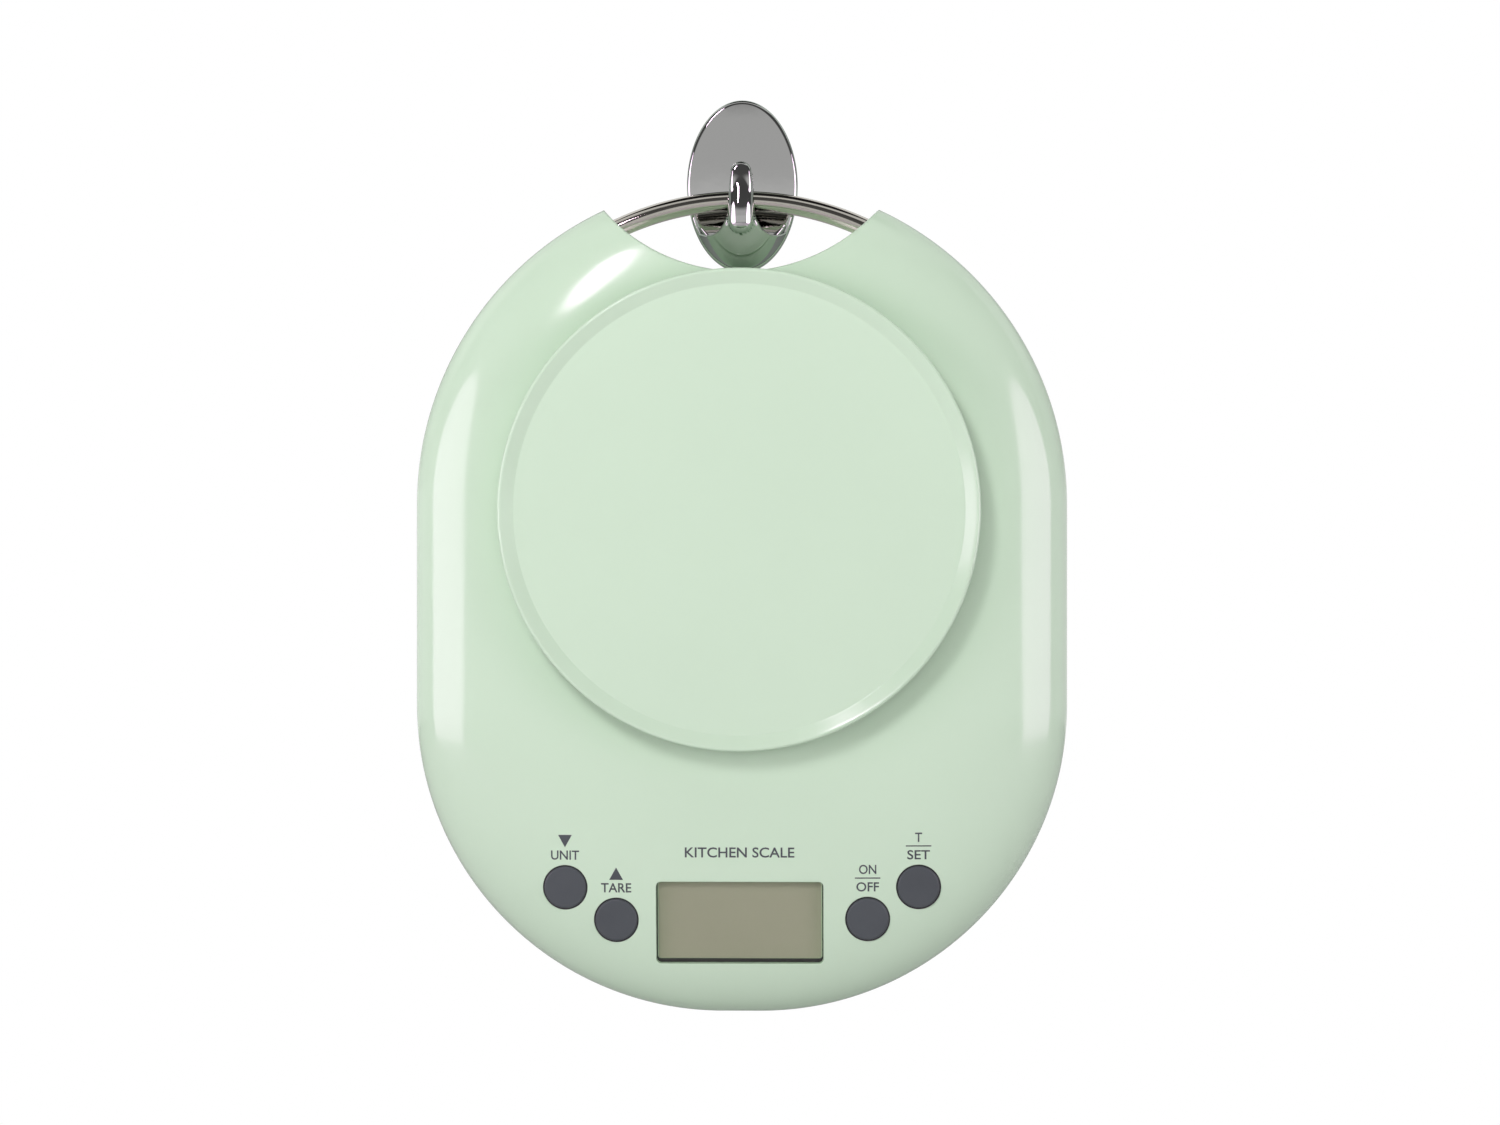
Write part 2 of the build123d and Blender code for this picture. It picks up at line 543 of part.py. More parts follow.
def make_amplifier_chip():
    """The load cell's small converter, with four leads on each side."""
    x, z = 17.0, -197.0
    body = block(x, z, 4.0, 5.0, PCB_BACK_DEPTH - 1.7, PCB_BACK_DEPTH - 0.2)
    leads = [block(x + side * 2.4, z - 1.9 + 1.27 * row, 1.6, 0.4, PCB_BACK_DEPTH - 0.5, PCB_BACK_DEPTH)
             for side in (-1, 1) for row in range(4)]
    return joined([body] + leads)


def make_buzzer():
    """The timer's piezo sounder, with its sound hole towards the back."""
    can = disc(-20.0, -199.0, 6.0, PCB_BACK_DEPTH - 4.5, PCB_BACK_DEPTH)
    return can - disc(-20.0, -199.0, 1.0, PCB_BACK_DEPTH - 5, PCB_BACK_DEPTH - 1)


def make_tact_switches():
    switches = []
    for x, z in BUTTONS.values():
        body = block(x, z, SWITCH_SIZE, SWITCH_SIZE, PCB_FRONT_DEPTH, SWITCH_TOP_DEPTH)
        bore = disc(x, z, PLUNGER_RADIUS + 0.2, PCB_FRONT_DEPTH + 1.2, SWITCH_TOP_DEPTH + 1)
        switches.append(body - bore)
    return group(switches)


def make_plunger(name):
    x, z = BUTTONS[name]
    return disc(x, z, PLUNGER_RADIUS, SWITCH_TOP_DEPTH - 1.2, PLUNGER_TOP_DEPTH)


def make_button(name, dome):
    """A cap whose face follows the dome, with a collar under the shell and a stem to its switch."""
    x, z = BUTTONS[name]
    cap = disc(x, z, BUTTON_RADIUS, BUTTON_FLANGE_DEPTHS[0], DOME_DEPTH) & Pos(0, -BUTTON_PROUD, 0) * dome
    collar = disc(x, z, BUTTON_FLANGE_RADIUS, *BUTTON_FLANGE_DEPTHS)
    stem = disc(x, z, 2.2, PLUNGER_TOP_DEPTH, BUTTON_FLANGE_DEPTHS[0])
    hollow = disc(x, z, BUTTON_RADIUS - 1.4, BUTTON_FLANGE_DEPTHS[0], BUTTON_FLANGE_DEPTHS[1] + 0.6)
    return cap + collar - hollow + disc(x, z, 2.2, PLUNGER_TOP_DEPTH, BUTTON_FLANGE_DEPTHS[1] + 0.8) + stem


# ================================== load cell ==================================
def cell_screw_places(end):
    """Heights of the two screws at an end of the bar: end is +1 for the upper, moving end."""
    return [PLATFORM_CENTRE_Z + end * offset for offset in CELL_SCREW_OFFSETS]


def make_load_cell():
    bar = block(0, PLATFORM_CENTRE_Z, CELL_WIDTH, CELL_LENGTH, CELL_BACK_DEPTH, CELL_FRONT_DEPTH)
    middle_depth = (CELL_BACK_DEPTH + CELL_FRONT_DEPTH) / 2
    lobes = [Pos(0, -middle_depth, PLATFORM_CENTRE_Z + side * 5.5) * Rot(0, 90, 0) * Cylinder(3.1, 40)
             for side in (-1, 1)]
    slot = Pos(0, -middle_depth, PLATFORM_CENTRE_Z) * Box(40, 2.0, 11)
    radius = SCREW_RADIUS + CELL_SCREW_CLEARANCE
    holes = [disc(0, z, radius, 0, 30) for end in (-1, 1) for z in cell_screw_places(end)]
    return bar - lobes - slot - holes


def make_strain_gauges():
    """Soft white coating over the gauges, on the faces nearest to the bar's thin places."""
    front = block(0, PLATFORM_CENTRE_Z, 9.0, 18.0, CELL_FRONT_DEPTH, CELL_FRONT_DEPTH + 0.5)
    back = block(0, PLATFORM_CENTRE_Z, 9.0, 18.0, CELL_BACK_DEPTH - 0.5, CELL_BACK_DEPTH)
    return group([front, back])


def cell_spacer(end, near, far):
    z = PLATFORM_CENTRE_Z + end * (CELL_LENGTH - SPACER_LENGTH) / 2
    holes = [disc(0, place, SCREW_RADIUS + SCREW_FIT, 0, 40) for place in cell_screw_places(end)]
    return block(0, z, CELL_WIDTH, SPACER_LENGTH, near, far) - holes


def make_platform_carrier():
    """A cross inside the shell; its four posts reach through the shell to the platform."""
    hub = disc(0, PLATFORM_CENTRE_Z, 16.0, SPACER_FRONT_DEPTH, CARRIER_FRONT_DEPTH)
    top_z = PLATFORM_CENTRE_Z + (CELL_LENGTH - SPACER_LENGTH) / 2
    foot_middle = (PLATFORM_CENTRE_Z + top_z) / 2
    foot_length = 2 * (top_z - PLATFORM_CENTRE_Z)
    foot = block(0, foot_middle, 18.0, foot_length, SPACER_FRONT_DEPTH, CARRIER_FRONT_DEPTH)
    pieces = [hub, foot]
    middle = (SPACER_FRONT_DEPTH + CARRIER_FRONT_DEPTH) / 2
    for angle, (x, z) in zip(POST_ANGLES, post_places()):
        arm = Pos(0, -middle, PLATFORM_CENTRE_Z) * Rot(0, -angle, 0) * Box(
            POST_CIRCLE, CARRIER_FRONT_DEPTH - SPACER_FRONT_DEPTH, 8.0,
            align=(Align.MIN, Align.CENTER, Align.CENTER))
        pieces += [arm, disc(x, z, POST_RADIUS, SPACER_FRONT_DEPTH, POST_TOP_DEPTH)]
    holes = [disc(x, z, SCREW_RADIUS + SCREW_FIT, 0, 40) for x, z in post_places()]
    holes += [disc(0, z, SCREW_RADIUS + SCREW_FIT, 0, 40) for z in cell_screw_places(1)]
    return joined(pieces) - holes


def make_platform():
    """A shallow round dish: flat middle, sloped raised rim, skirt, ribs and bosses for the posts."""
    inner = PLATFORM_RADIUS - PLATFORM_WALL
    under = PLATFORM_FLAT_DEPTH - PLATFORM_WALL
    profile = make_face(Polyline(
        (0, PLATFORM_FLAT_DEPTH), (PLATFORM_FLAT_RADIUS, PLATFORM_FLAT_DEPTH),
        (PLATFORM_LIP_RADIUS, PLATFORM_TOP_DEPTH - 0.1), (PLATFORM_LIP_RADIUS + 0.3, PLATFORM_TOP_DEPTH),
        (PLATFORM_RADIUS - PLATFORM_LIP_ROUND, PLATFORM_TOP_DEPTH),
        (PLATFORM_RADIUS, PLATFORM_TOP_DEPTH - PLATFORM_LIP_ROUND),
        (PLATFORM_RADIUS - 0.6, PLATFORM_SKIRT_DEPTH), (inner - 0.6, PLATFORM_SKIRT_DEPTH),
        (inner - 1.4, under - 1.2), (inner - 3.4, under), (0, under), close=True))
    turned = revolve(Plane.XY * profile, axis=Axis.Y)
    dish = Pos(0, 0, PLATFORM_CENTRE_Z) * mirror(turned, Plane.XZ)
    bosses = [disc(x, z, PLATFORM_BOSS_RADIUS, POST_TOP_DEPTH, under + 0.5) for x, z in post_places()]
    rib = Pos(0, -(under - 0.4), 0) * Box(2 * PLATFORM_RIB_REACH, 1.0, 1.4)
    ribs = [Pos(0, 0, PLATFORM_CENTRE_Z) * Rot(0, angle, 0) * rib for angle in (0, 45, 90, 135)]
    holes = [disc(x, z, SCREW_RADIUS + SCREW_FIT, 0, PLATFORM_SCREW_TIP + 0.3) for x, z in post_places()]
    return dish + bosses + ribs - holes


# ================================== leads ==================================
def lead(points, radius, bend):
    path = FilletPolyline(*points, radius=bend)
    section = Plane(origin=path @ 0, z_dir=path % 0) * Circle(radius)
    return sweep(section, path=path)


def make_load_cell_wires():
    """Four thin leads, side by side, from the gauges round the battery bay to the board."""
    wires = []
    for number in range(4):
        shift = 1.1 * number
        points = [(6.6, -12.5, -99.0 + shift), (16.0 + shift, -12.5, -99.0 + shift),
                  (33.0 + shift, -9.0, -118.0 + shift), (33.0 + shift, -9.0, -182.0 - shift),
                  (24.0 + shift, -PCB_BACK_DEPTH + 0.6, -190.5)]
        wires.append(lead(points, 0.5, 4.0))
    return group(wires)


def make_battery_wires():
    wires = []
    bay_end = BAY_HALF_LENGTH + BAY_WALL
    for row, end_x in ((0, 12.0), (1, 8.0)):
        z = battery_place(row)
        run_x = bay_end + 3.0 - 1.3 * row
        points = [(bay_end + 0.6, -14.0, z), (run_x, -14.0, z - 4), (run_x, -10.5, -174.0),
                  (end_x, -PCB_BACK_DEPTH + 0.6, -190.0)]
        wires.append(lead(points, 0.55, 2.0))
    return group(wires)


# ================================== all nodes ==================================
def build_nodes():
    dome = pillow(0, DOME_WIDTH, DOME_HEIGHT, DOME_POWER, True)
    nodes = {
        "hook_shell": make_hook_shell(),
        "adhesive_pad": make_adhesive_pad(),
        "hanging_bar": bar_solid(BAR_RADIUS),
        "bar_clamp_left": make_bar_clamp(-1),
        "bar_clamp_right": make_bar_clamp(1),
        "bar_clamp_screws": make_bar_clamp_screws(),
        "top_housing": make_top_housing(),
        "bottom_housing": make_bottom_housing(),
        "battery_cover": make_battery_cover(),
        "battery_1": make_battery(0),
        "battery_2": make_battery(1),
        "lcd_window": make_lcd_window(),
        "lcd_panel": make_lcd_panel(),
        "lcd_holder": make_lcd_holder(),
        "lcd_ribbon": make_lcd_ribbon(),
        "main_pcb": make_main_pcb(),
        "controller_chip": make_controller_chip(),
        "amplifier_chip": make_amplifier_chip(),
        "buzzer": make_buzzer(),
        "tact_switches": make_tact_switches(),
        "load_cell": make_load_cell(),
        "strain_gauges": make_strain_gauges(),
        "load_cell_base_spacer": cell_spacer(-1, 6.5, CELL_BACK_DEPTH),
        "load_cell_top_spacer": cell_spacer(1, CELL_FRONT_DEPTH + TRAVEL_GAP, SPACER_FRONT_DEPTH),
        "platform_carrier": make_platform_carrier(),
        "platform": make_platform(),
        "load_cell_wires": make_load_cell_wires(),
        "battery_wires": make_battery_wires(),
        "housing_screws": group([screw(x, z, HOUSING_HEAD_SEAT, JOINT_DEPTH + 8.5)
                                 for x, z in both_sides(HOUSING_SCREWS)]),
        "pcb_screws": group([screw(x, z, PCB_BACK_DEPTH, 19.5) for x, z in PCB_SCREWS]),
        "carrier_screws": group([screw(x, z, SPACER_FRONT_DEPTH, PLATFORM_SCREW_TIP)
                                 for x, z in post_places()]),
        "load_cell_base_screws": group([screw(0, z, BACK_DEPTH + HEAD_HEIGHT + 0.2, CELL_FRONT_DEPTH)
                                        for z in cell_screw_places(-1)]),
        "load_cell_top_screws": group([screw(0, z, CARRIER_FRONT_DEPTH, CELL_BACK_DEPTH + 1.5)
                                       for z in cell_screw_places(1)]),
        "rubber_feet": group([disc(x, z, FOOT_RADIUS - 0.05, FOOT_REST_DEPTH, BACK_DEPTH + FOOT_RECESS)
                              for x, z in both_sides(FEET)]),
        "battery_positive_contact": contact_plate(1, battery_place(0), 8.0),
        "battery_negative_contact": contact_plate(1, battery_place(1), 8.0) + contact_spring(1, 1),
        "battery_bridge_contact": contact_plate(-1, BAY_CENTRE_Z, 19.0) + contact_spring(-1, 0),
    }
    for name in BUTTONS:
        nodes["button_" + name] = make_button(name, dome)
        nodes["switch_plunger_" + name] = make_plunger(name)
    return nodes


os.makedirs("parts", exist_ok=True)
for node_name, shape in build_nodes().items():
    export_step(shape, "parts/" + node_name + ".step")
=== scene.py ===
import json
from math import asin, atan2, cos, degrees, hypot, pi, radians, sin, sqrt, tan

import bpy
import numpy as np
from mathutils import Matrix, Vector
from mathutils.geometry import delaunay_2d_cdt


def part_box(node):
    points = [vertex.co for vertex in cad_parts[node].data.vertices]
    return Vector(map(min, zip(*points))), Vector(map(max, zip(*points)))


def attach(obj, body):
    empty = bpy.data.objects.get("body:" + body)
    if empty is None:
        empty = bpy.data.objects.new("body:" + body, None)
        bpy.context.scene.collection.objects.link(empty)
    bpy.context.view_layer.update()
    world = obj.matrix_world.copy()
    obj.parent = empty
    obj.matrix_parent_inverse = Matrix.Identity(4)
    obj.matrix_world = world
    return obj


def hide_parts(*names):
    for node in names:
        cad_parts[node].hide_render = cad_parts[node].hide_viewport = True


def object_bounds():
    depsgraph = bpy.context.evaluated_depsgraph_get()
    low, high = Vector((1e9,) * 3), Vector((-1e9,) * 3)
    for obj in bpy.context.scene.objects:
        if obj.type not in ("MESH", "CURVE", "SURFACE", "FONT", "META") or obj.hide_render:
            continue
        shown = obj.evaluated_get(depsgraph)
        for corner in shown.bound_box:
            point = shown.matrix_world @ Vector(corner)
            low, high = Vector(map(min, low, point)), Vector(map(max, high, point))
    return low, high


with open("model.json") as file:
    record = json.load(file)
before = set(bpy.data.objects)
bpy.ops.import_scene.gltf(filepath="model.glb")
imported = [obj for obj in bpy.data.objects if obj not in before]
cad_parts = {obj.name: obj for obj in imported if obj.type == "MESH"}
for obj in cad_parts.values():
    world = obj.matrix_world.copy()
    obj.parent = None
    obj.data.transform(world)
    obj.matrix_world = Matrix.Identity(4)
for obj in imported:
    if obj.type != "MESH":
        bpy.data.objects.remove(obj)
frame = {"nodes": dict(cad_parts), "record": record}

MM = 0.001
AXIS_HOLE = 0.02                         # a lathe's rows stop this far from its axis
cad_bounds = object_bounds()


def span(node):
    """A CAD node's extent in millimetres: x, depth and z, each as (lowest, highest)."""
    low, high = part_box(node)
    return (low.x / MM, high.x / MM), (-high.y / MM, -low.y / MM), (low.z / MM, high.z / MM)


# --- Driving dimensions, from the CAD boxes where they show them ---
shell_x, shell_depth, shell_z = span("top_housing")
BODY_RADIUS = shell_x[1]
BODY_TOP_CENTRE_Z = -91.5
CORNER_RADIUS = 87.5
CORNER_CENTRE_Z = shell_z[0] + CORNER_RADIUS
CORNER_CENTRE_X = BODY_RADIUS - CORNER_RADIUS
NOTCH = (0.0, 26.2, 51.6)                # centre x, centre z, radius
JOINT_DEPTH = shell_depth[0]
DOME_WIDTH = 46.0
DOME_HEIGHT = shell_depth[1] - shell_depth[0]
DOME_POWER = 2.4
SHELL_WALL = 2.2
EDGE_FILLET = 0.45                       # round-over along the notch
HOLE_FILLET = 0.14                       # round-over at the push-button holes and the window

platform_x, platform_depth, platform_z = span("platform")
PLATFORM_RADIUS = platform_x[1]
PLATFORM_CENTRE_Z = (platform_z[0] + platform_z[1]) / 2
PLATFORM_TOP = platform_depth[1]
PLATFORM_FLAT = PLATFORM_TOP - 1.5       # the weighing surface lies under the rim's crest
PLATFORM_FLAT_RADIUS = PLATFORM_RADIUS - 4.6
PLATFORM_SLOPE = radians(24.0)           # of the rim's inner side
PLATFORM_LIP = 0.75                      # radius of the rounded lip
PLATFORM_SKIRT = 30.6
PLATFORM_WALL = 2.4
POST_TOP = 28.6
POST_CIRCLE = 40.0
POST_HOLE_RADIUS = 4.6

BUTTON_NAMES = ("unit", "tare", "on_off", "set")
BUTTON_RADIUS = 5.98
BUTTON_HOLE_RADIUS = 6.36
BUTTON_COLLAR = (6.3, 0.75)              # radius, and how far under the face
BUTTON_HOLE_FOOT = 21.1
BUTTON_PROUD = 0.15
BUTTON_EDGE = 0.5

WINDOW_Z = -209.95
WINDOW_DEPTH = 25.86
WINDOW_TILT = radians(8.0)
WINDOW_HALF = (23.7, 11.8)
WINDOW_CORNER = 1.4
LENS_RECESS = 0.6
LENS_THICKNESS = 1.2
LENS_GAP = 0.15
LENS_EDGE = 0.4
APERTURE_HALF = (23.1, 11.0)
APERTURE_LIFT = 0.4
LEDGE = 0.6

BAR_RADIUS = 2.8
BAR_DEPTH = JOINT_DEPTH
BAR_ARC_RADIUS = 83.8
BAR_HALF_ANGLE = 38.0
BAR_BEND = (6.0, 80.0)                   # radius and angle of the bends inside the horns
BAR_LEG = 6.0
BAR_TOP_Z = span("hanging_bar")[2][1] - BAR_RADIUS

hook_x, _, hook_z = span("hook_shell")
HOOK_HALF = (hook_x[1], hook_z[1])
HOOK_BULGE = 17.2
HOOK_PLATE = (1.0, 4.5)                  # back and front depth of the plate
HOOK_RIM = 1.2
HOOK_WALL = 2.7
FINGER_TIP_Z = 6.3
FINGER_HALF = (3.8, 3.0)                 # half-width at the base and at the tip
FINGER_BASE_Z = -10.6
FINGER_CREST = (18.7, -9.4, 0.0165)      # depth of its fullest place, height of that, and its fall
FINGER_ROUND = 3.0
BED_TOP_Z = -6.4                         # where the cup's floor starts on the plate
SCALLOP = (9.5, -9.2, 4.7, 5.0)          # centre x and z, half-width and depth
FINGER_FOOT_Z = SCALLOP[1] + 3.2         # where the finger's sides become straight
FINGER_TIP_CENTRE_Z = FINGER_TIP_Z - FINGER_HALF[1]

SHADE_FRAME_HALF = (23.3, 11.05)                # opening of the painted-shade frame behind the lens
SHADE_FRAME_LIFT = 0.45
SHADE_FRAME_CORNER = 0.9
BUTTON_LEAN = 0.72                       # the caps' slope, as a share of the dome's there
INK_LIFT = 0.035                         # the print's face over the dome
INK_SINK = 0.05                          # the print's foot under the dome
CAP_HEIGHT = 2.65
WORD_RISE = 9.2                          # from a push button's middle up to the word over it
RULE_RISE = 11.7
UPPER_RISE = 14.15
ARROW_RISE = 13.2
MIDDLE_LINE = (-189.9, 2.9, 31.0)        # height of the line over the display, its cap height and width


# --- Mesh tools ---
def metres(points):
    """(x, depth, z) in millimetres to coordinates in metres."""
    points = np.asarray(points, float)
    return np.column_stack([points[:, 0], -points[:, 1], points[:, 2]]) * MM


def facing_out(points, faces, normals):
    """Faces wound so that they face outwards: by their given normals, or by the skin's volume."""
    points = metres(points)
    if normals is None:
        fans = np.array([(face[0], face[k], face[k + 1]) for face in faces for k in range(1, len(face) - 1)])
        a, b, c = (points[fans[:, k]] for k in range(3))
        volume = np.sum(a * np.cross(b, c))
        return ([face[::-1] for face in faces] if volume < 0 else faces), None
    starts = np.cumsum([0] + [len(face) for face in faces])
    own = np.add.reduceat(np.asarray(normals, float), starts[:-1], axis=0)
    a, b, c = (points[[face[k] for face in faces]] for k in (0, 1, -1))
    wrong = np.sum(np.cross(b - a, c - a) * own, axis=1) < 0
    turned_faces, turned_normals = list(faces), list(normals)
    for number in np.nonzero(wrong)[0]:
        start, end = starts[number], starts[number + 1]
        turned_faces[number] = faces[number][::-1]
        turned_normals[start:end] = turned_normals[start:end][::-1]
    return turned_faces, turned_normals


def piece(name, body, slot, points, faces, stands_for=(), normals=None, sharp=35.0):
    """A mesh from points (x, depth, z) and faces, smooth but for edges above the sharp angle."""
    mesh = bpy.data.meshes.new(name)
    faces = [tuple(int(i) for i in face) for face in faces]
    faces, normals = facing_out(points, faces, normals)
    mesh.from_pydata(metres(points).tolist(), [], faces)
    mesh.polygons.foreach_set("use_smooth", [True] * len(mesh.polygons))
    if normals is None:
        mesh.set_sharp_from_angle(angle=radians(sharp))
    else:
        mesh.normals_split_custom_set(np.asarray(normals, float).tolist())
    mesh.materials.append(finish(slot))
    obj = bpy.data.objects.new(name, mesh)
    bpy.context.scene.collection.objects.link(obj)
    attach(obj, body)
    if stands_for:
        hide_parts(*stands_for)
    return obj


def coords(x, depth, z):
    """Points (x, depth, z) from rows or single values."""
    return np.column_stack(np.broadcast_arrays(x, depth, z))


def ring_faces(first, second):
    """Quads between two closed rows of vertex numbers."""
    return list(zip(first, first[1:] + first[:1], second[1:] + second[:1], second))


def row_numbers(rows):
    count = len(rows[0])
    return [list(range(k * count, (k + 1) * count)) for k in range(len(rows))]


def loft(rows):
    """Points and faces of a capped skin through rows of points, each row a closed loop."""
    numbers = row_numbers(rows)
    faces = [quad for pair in zip(numbers, numbers[1:]) for quad in ring_faces(*pair)]
    return np.concatenate(rows), faces + [tuple(reversed(numbers[0])), tuple(numbers[-1])]


def hoop(rows):
    """Points and faces of a ring: the last row is joined to the first."""
    numbers = row_numbers(rows)
    faces = [quad for pair in zip(numbers, numbers[1:] + numbers[:1]) for quad in ring_faces(*pair)]
    return np.concatenate(rows), faces


def square_grid(low_x, high_x, low_z, high_z, step):
    grid = np.meshgrid(np.arange(low_x, high_x, step), np.arange(low_z, high_z, step))
    return np.stack(grid, axis=-1).reshape(-1, 2)


def whole_turn(count):
    return np.linspace(0, 2 * pi, count, endpoint=False)


def join(parts):
    """Several (points, faces) pairs as one."""
    points, faces, start = [], [], 0
    for part_points, part_faces in parts:
        points.append(np.asarray(part_points, float))
        faces += [tuple(int(i) + start for i in face) for face in part_faces]
        start += len(part_points)
    return np.concatenate(points), faces


def turned(profile, centre_x, centre_z, segments):
    """A lathe about the Y direction: profile is (radius, depth) pairs from axis to axis."""
    turn = whole_turn(segments)
    rows = []
    for radius, depth in profile:
        radius = max(radius, AXIS_HOLE)
        rows.append(coords(centre_x + radius * np.cos(turn), depth, centre_z + radius * np.sin(turn)))
    return loft(rows)


def fillet_rows(steps):
    """Angles of a round-over from the side (90 degrees) to the top (0 degrees)."""
    return [radians(90) * (1 - k / steps) for k in range(steps + 1)]


# --- Shape of the body ---
def inset(x, z):
    """Distance in from the body's outline, and the direction inwards."""
    low = z <= CORNER_CENTRE_Z
    centre_x = np.where(low, np.clip(x, -CORNER_CENTRE_X, CORNER_CENTRE_X), 0)
    centre_z = np.where(z >= BODY_TOP_CENTRE_Z, BODY_TOP_CENTRE_Z, np.where(low, CORNER_CENTRE_Z, z))
    radius = np.where(low, CORNER_RADIUS, BODY_RADIUS)
    off_x, off_z = x - centre_x, z - centre_z
    reach = np.maximum(np.hypot(off_x, off_z), 1e-9)
    return radius - reach, -off_x / reach, -off_z / reach


def dome(x, z, shrink=0.0):
    """Depth of the dome at (x, z), or of the surface inside it, and its normal as (x, y, z)."""
    distance, inward_x, inward_z = inset(x, z)
    width, height = DOME_WIDTH - shrink, DOME_HEIGHT - shrink
    share = np.clip(1 - np.maximum(distance - shrink, 0) / width, 0, 1)
    cosine = share ** (DOME_POWER / 2)
    sine = np.sqrt(1 - cosine ** 2)
    depth = JOINT_DEPTH + height * sine ** (2 / DOME_POWER)
    power = 2 - 2 / DOME_POWER
    tilt = np.arctan2(height * cosine ** power, width * sine ** power)
    normal = coords(-np.sin(tilt) * inward_x, -np.cos(tilt), -np.sin(tilt) * inward_z)
    return depth, normal


def round_edge(centre_x, centre_z, radius):
    """Distance outside a round hole, and the direction away from it."""
    def measure(x, z):
        off_x, off_z = x - centre_x, z - centre_z
        reach = np.maximum(np.hypot(off_x, off_z), 1e-9)
        return reach - radius, off_x / reach, off_z / reach
    return measure


def window_edge(x, z):
    """Distance outside the window's opening, and the direction away from it."""
    half_x, half_z = WINDOW_HALF[0] - WINDOW_CORNER, (WINDOW_HALF[1] - WINDOW_CORNER) * cos(WINDOW_TILT)
    off_x, off_z = x, z - WINDOW_Z
    over_x, over_z = np.abs(off_x) - half_x, np.abs(off_z) - half_z
    out_x, out_z = np.maximum(over_x, 0), np.maximum(over_z, 0)
    reach = np.hypot(out_x, out_z)
    inside = np.minimum(np.maximum(over_x, over_z), 0)
    safe = np.maximum(reach, 1e-9)
    across = over_x > over_z
    way_x = np.where(reach > 0, out_x / safe, across) * np.sign(off_x)
    way_z = np.where(reach > 0, out_z / safe, ~across) * np.sign(off_z)
    return reach + inside - WINDOW_CORNER, way_x, way_z


def arc(centre, radius, start, end, count):
    angles = np.radians(np.linspace(start, end, count))
    return np.column_stack([centre[0] + radius * np.cos(angles), centre[1] + radius * np.sin(angles)])


def rounded_loop(half_x, half_z, corner, count=8, side=24):
    """A rounded rectangle about (0, 0), from its right side upwards."""
    corners = ((1, 1, 0), (-1, 1, 90), (-1, -1, 180), (1, -1, 270))
    points = []
    for sign_x, sign_z, start in corners:
        centre = (sign_x * (half_x - corner), sign_z * (half_z - corner))
        points.append(arc(centre, corner, start, start + 90, count))
    loop = np.concatenate(points)
    filled = []
    for here, there in zip(loop, np.roll(loop, -1, axis=0)):
        parts = side if np.hypot(*(there - here)) > 4 * corner else 1
        filled += [here + (there - here) * k / parts for k in range(parts)]
    return np.array(filled)


def on_window_plane(loop, lift, drop):
    """Points (x, up the slope) as (x, depth, z), drop millimetres under the window's plane."""
    up = loop[:, 1] + lift
    cosine, sine = cos(WINDOW_TILT), sin(WINDOW_TILT)
    return coords(loop[:, 0], WINDOW_DEPTH + up * sine - drop * cosine, WINDOW_Z + up * cosine + drop * sine)


def body_outline():
    """The outline from the right horn's tip round the bottom to the left horn's tip."""
    apart = NOTCH[1] - BODY_TOP_CENTRE_Z
    rise = (BODY_RADIUS ** 2 - NOTCH[2] ** 2 + apart ** 2) / (2 * apart)
    horn = degrees(asin(rise / BODY_RADIUS))
    top = (0, BODY_TOP_CENTRE_Z)
    right_top = arc(top, BODY_RADIUS, horn, 0, 76)
    corner = (CORNER_CENTRE_X, CORNER_CENTRE_Z)
    heights = np.linspace(BODY_TOP_CENTRE_Z, CORNER_CENTRE_Z, 24)[1:-1]
    side = np.column_stack([np.full(len(heights), BODY_RADIUS), heights])
    right_low = arc(corner, CORNER_RADIUS, 0, -90, 74)
    bottom = np.array([[CORNER_CENTRE_X / 2, shell_z[0]], [0, shell_z[0]]])
    right = np.concatenate([right_top, side, right_low, bottom])
    left = right[-2::-1] * (-1, 1)
    return np.concatenate([right, left])


def profile_table():
    """Inset and length along the dome's curve, from the edge inwards."""
    turn = np.linspace(0, pi / 2, 500)
    run = DOME_WIDTH * (1 - np.cos(turn) ** (2 / DOME_POWER))
    rise = DOME_HEIGHT * np.sin(turn) ** (2 / DOME_POWER)
    length = np.concatenate([[0], np.cumsum(np.hypot(np.diff(run), np.diff(rise)))])
    return run, length


PROFILE_RUN, PROFILE_LENGTH = profile_table()


def unrolled(points):
    """Points moved outwards until the dome's curve lies flat, so that triangles keep a good shape."""
    distance, inward_x, inward_z = inset(points[:, 0], points[:, 1])
    length = np.interp(distance, PROFILE_RUN, PROFILE_LENGTH)
    spare = (PROFILE_LENGTH[-1] - length) - np.maximum(DOME_WIDTH - distance, 0)
    return points - np.column_stack([inward_x, inward_z]) * spare[:, None]


def triangles(points, loops, flat=None):
    """Constrained triangles over points; loops are lists of vertex numbers, the first the outside."""
    flat = points if flat is None else flat
    edges = []
    for loop in loops:
        edges += list(zip(loop, loop[1:] + loop[:1]))
    result = delaunay_2d_cdt([Vector(p) for p in flat.tolist()], edges, [], 0, 1e-7)
    new_points, new_faces, origins = result[0], result[2], result[3]
    number = [origin[0] if origin else -1 for origin in origins]
    assert len(new_points) <= len(points), "the loops cross"
    faces = np.array([[number[i] for i in face] for face in new_faces])
    middles = flat[faces].mean(axis=1)
    keep = inside(middles, flat[loops[0]])
    for loop in loops[1:]:
        keep &= ~inside(middles, flat[loop])
    faces = faces[keep]
    a, b, c = (flat[faces[:, k]] for k in range(3))
    area = (b - a)[:, 0] * (c - a)[:, 1] - (b - a)[:, 1] * (c - a)[:, 0]
    faces[area < 0] = faces[area < 0][:, ::-1]
    return faces[np.abs(area) > 1e-9]


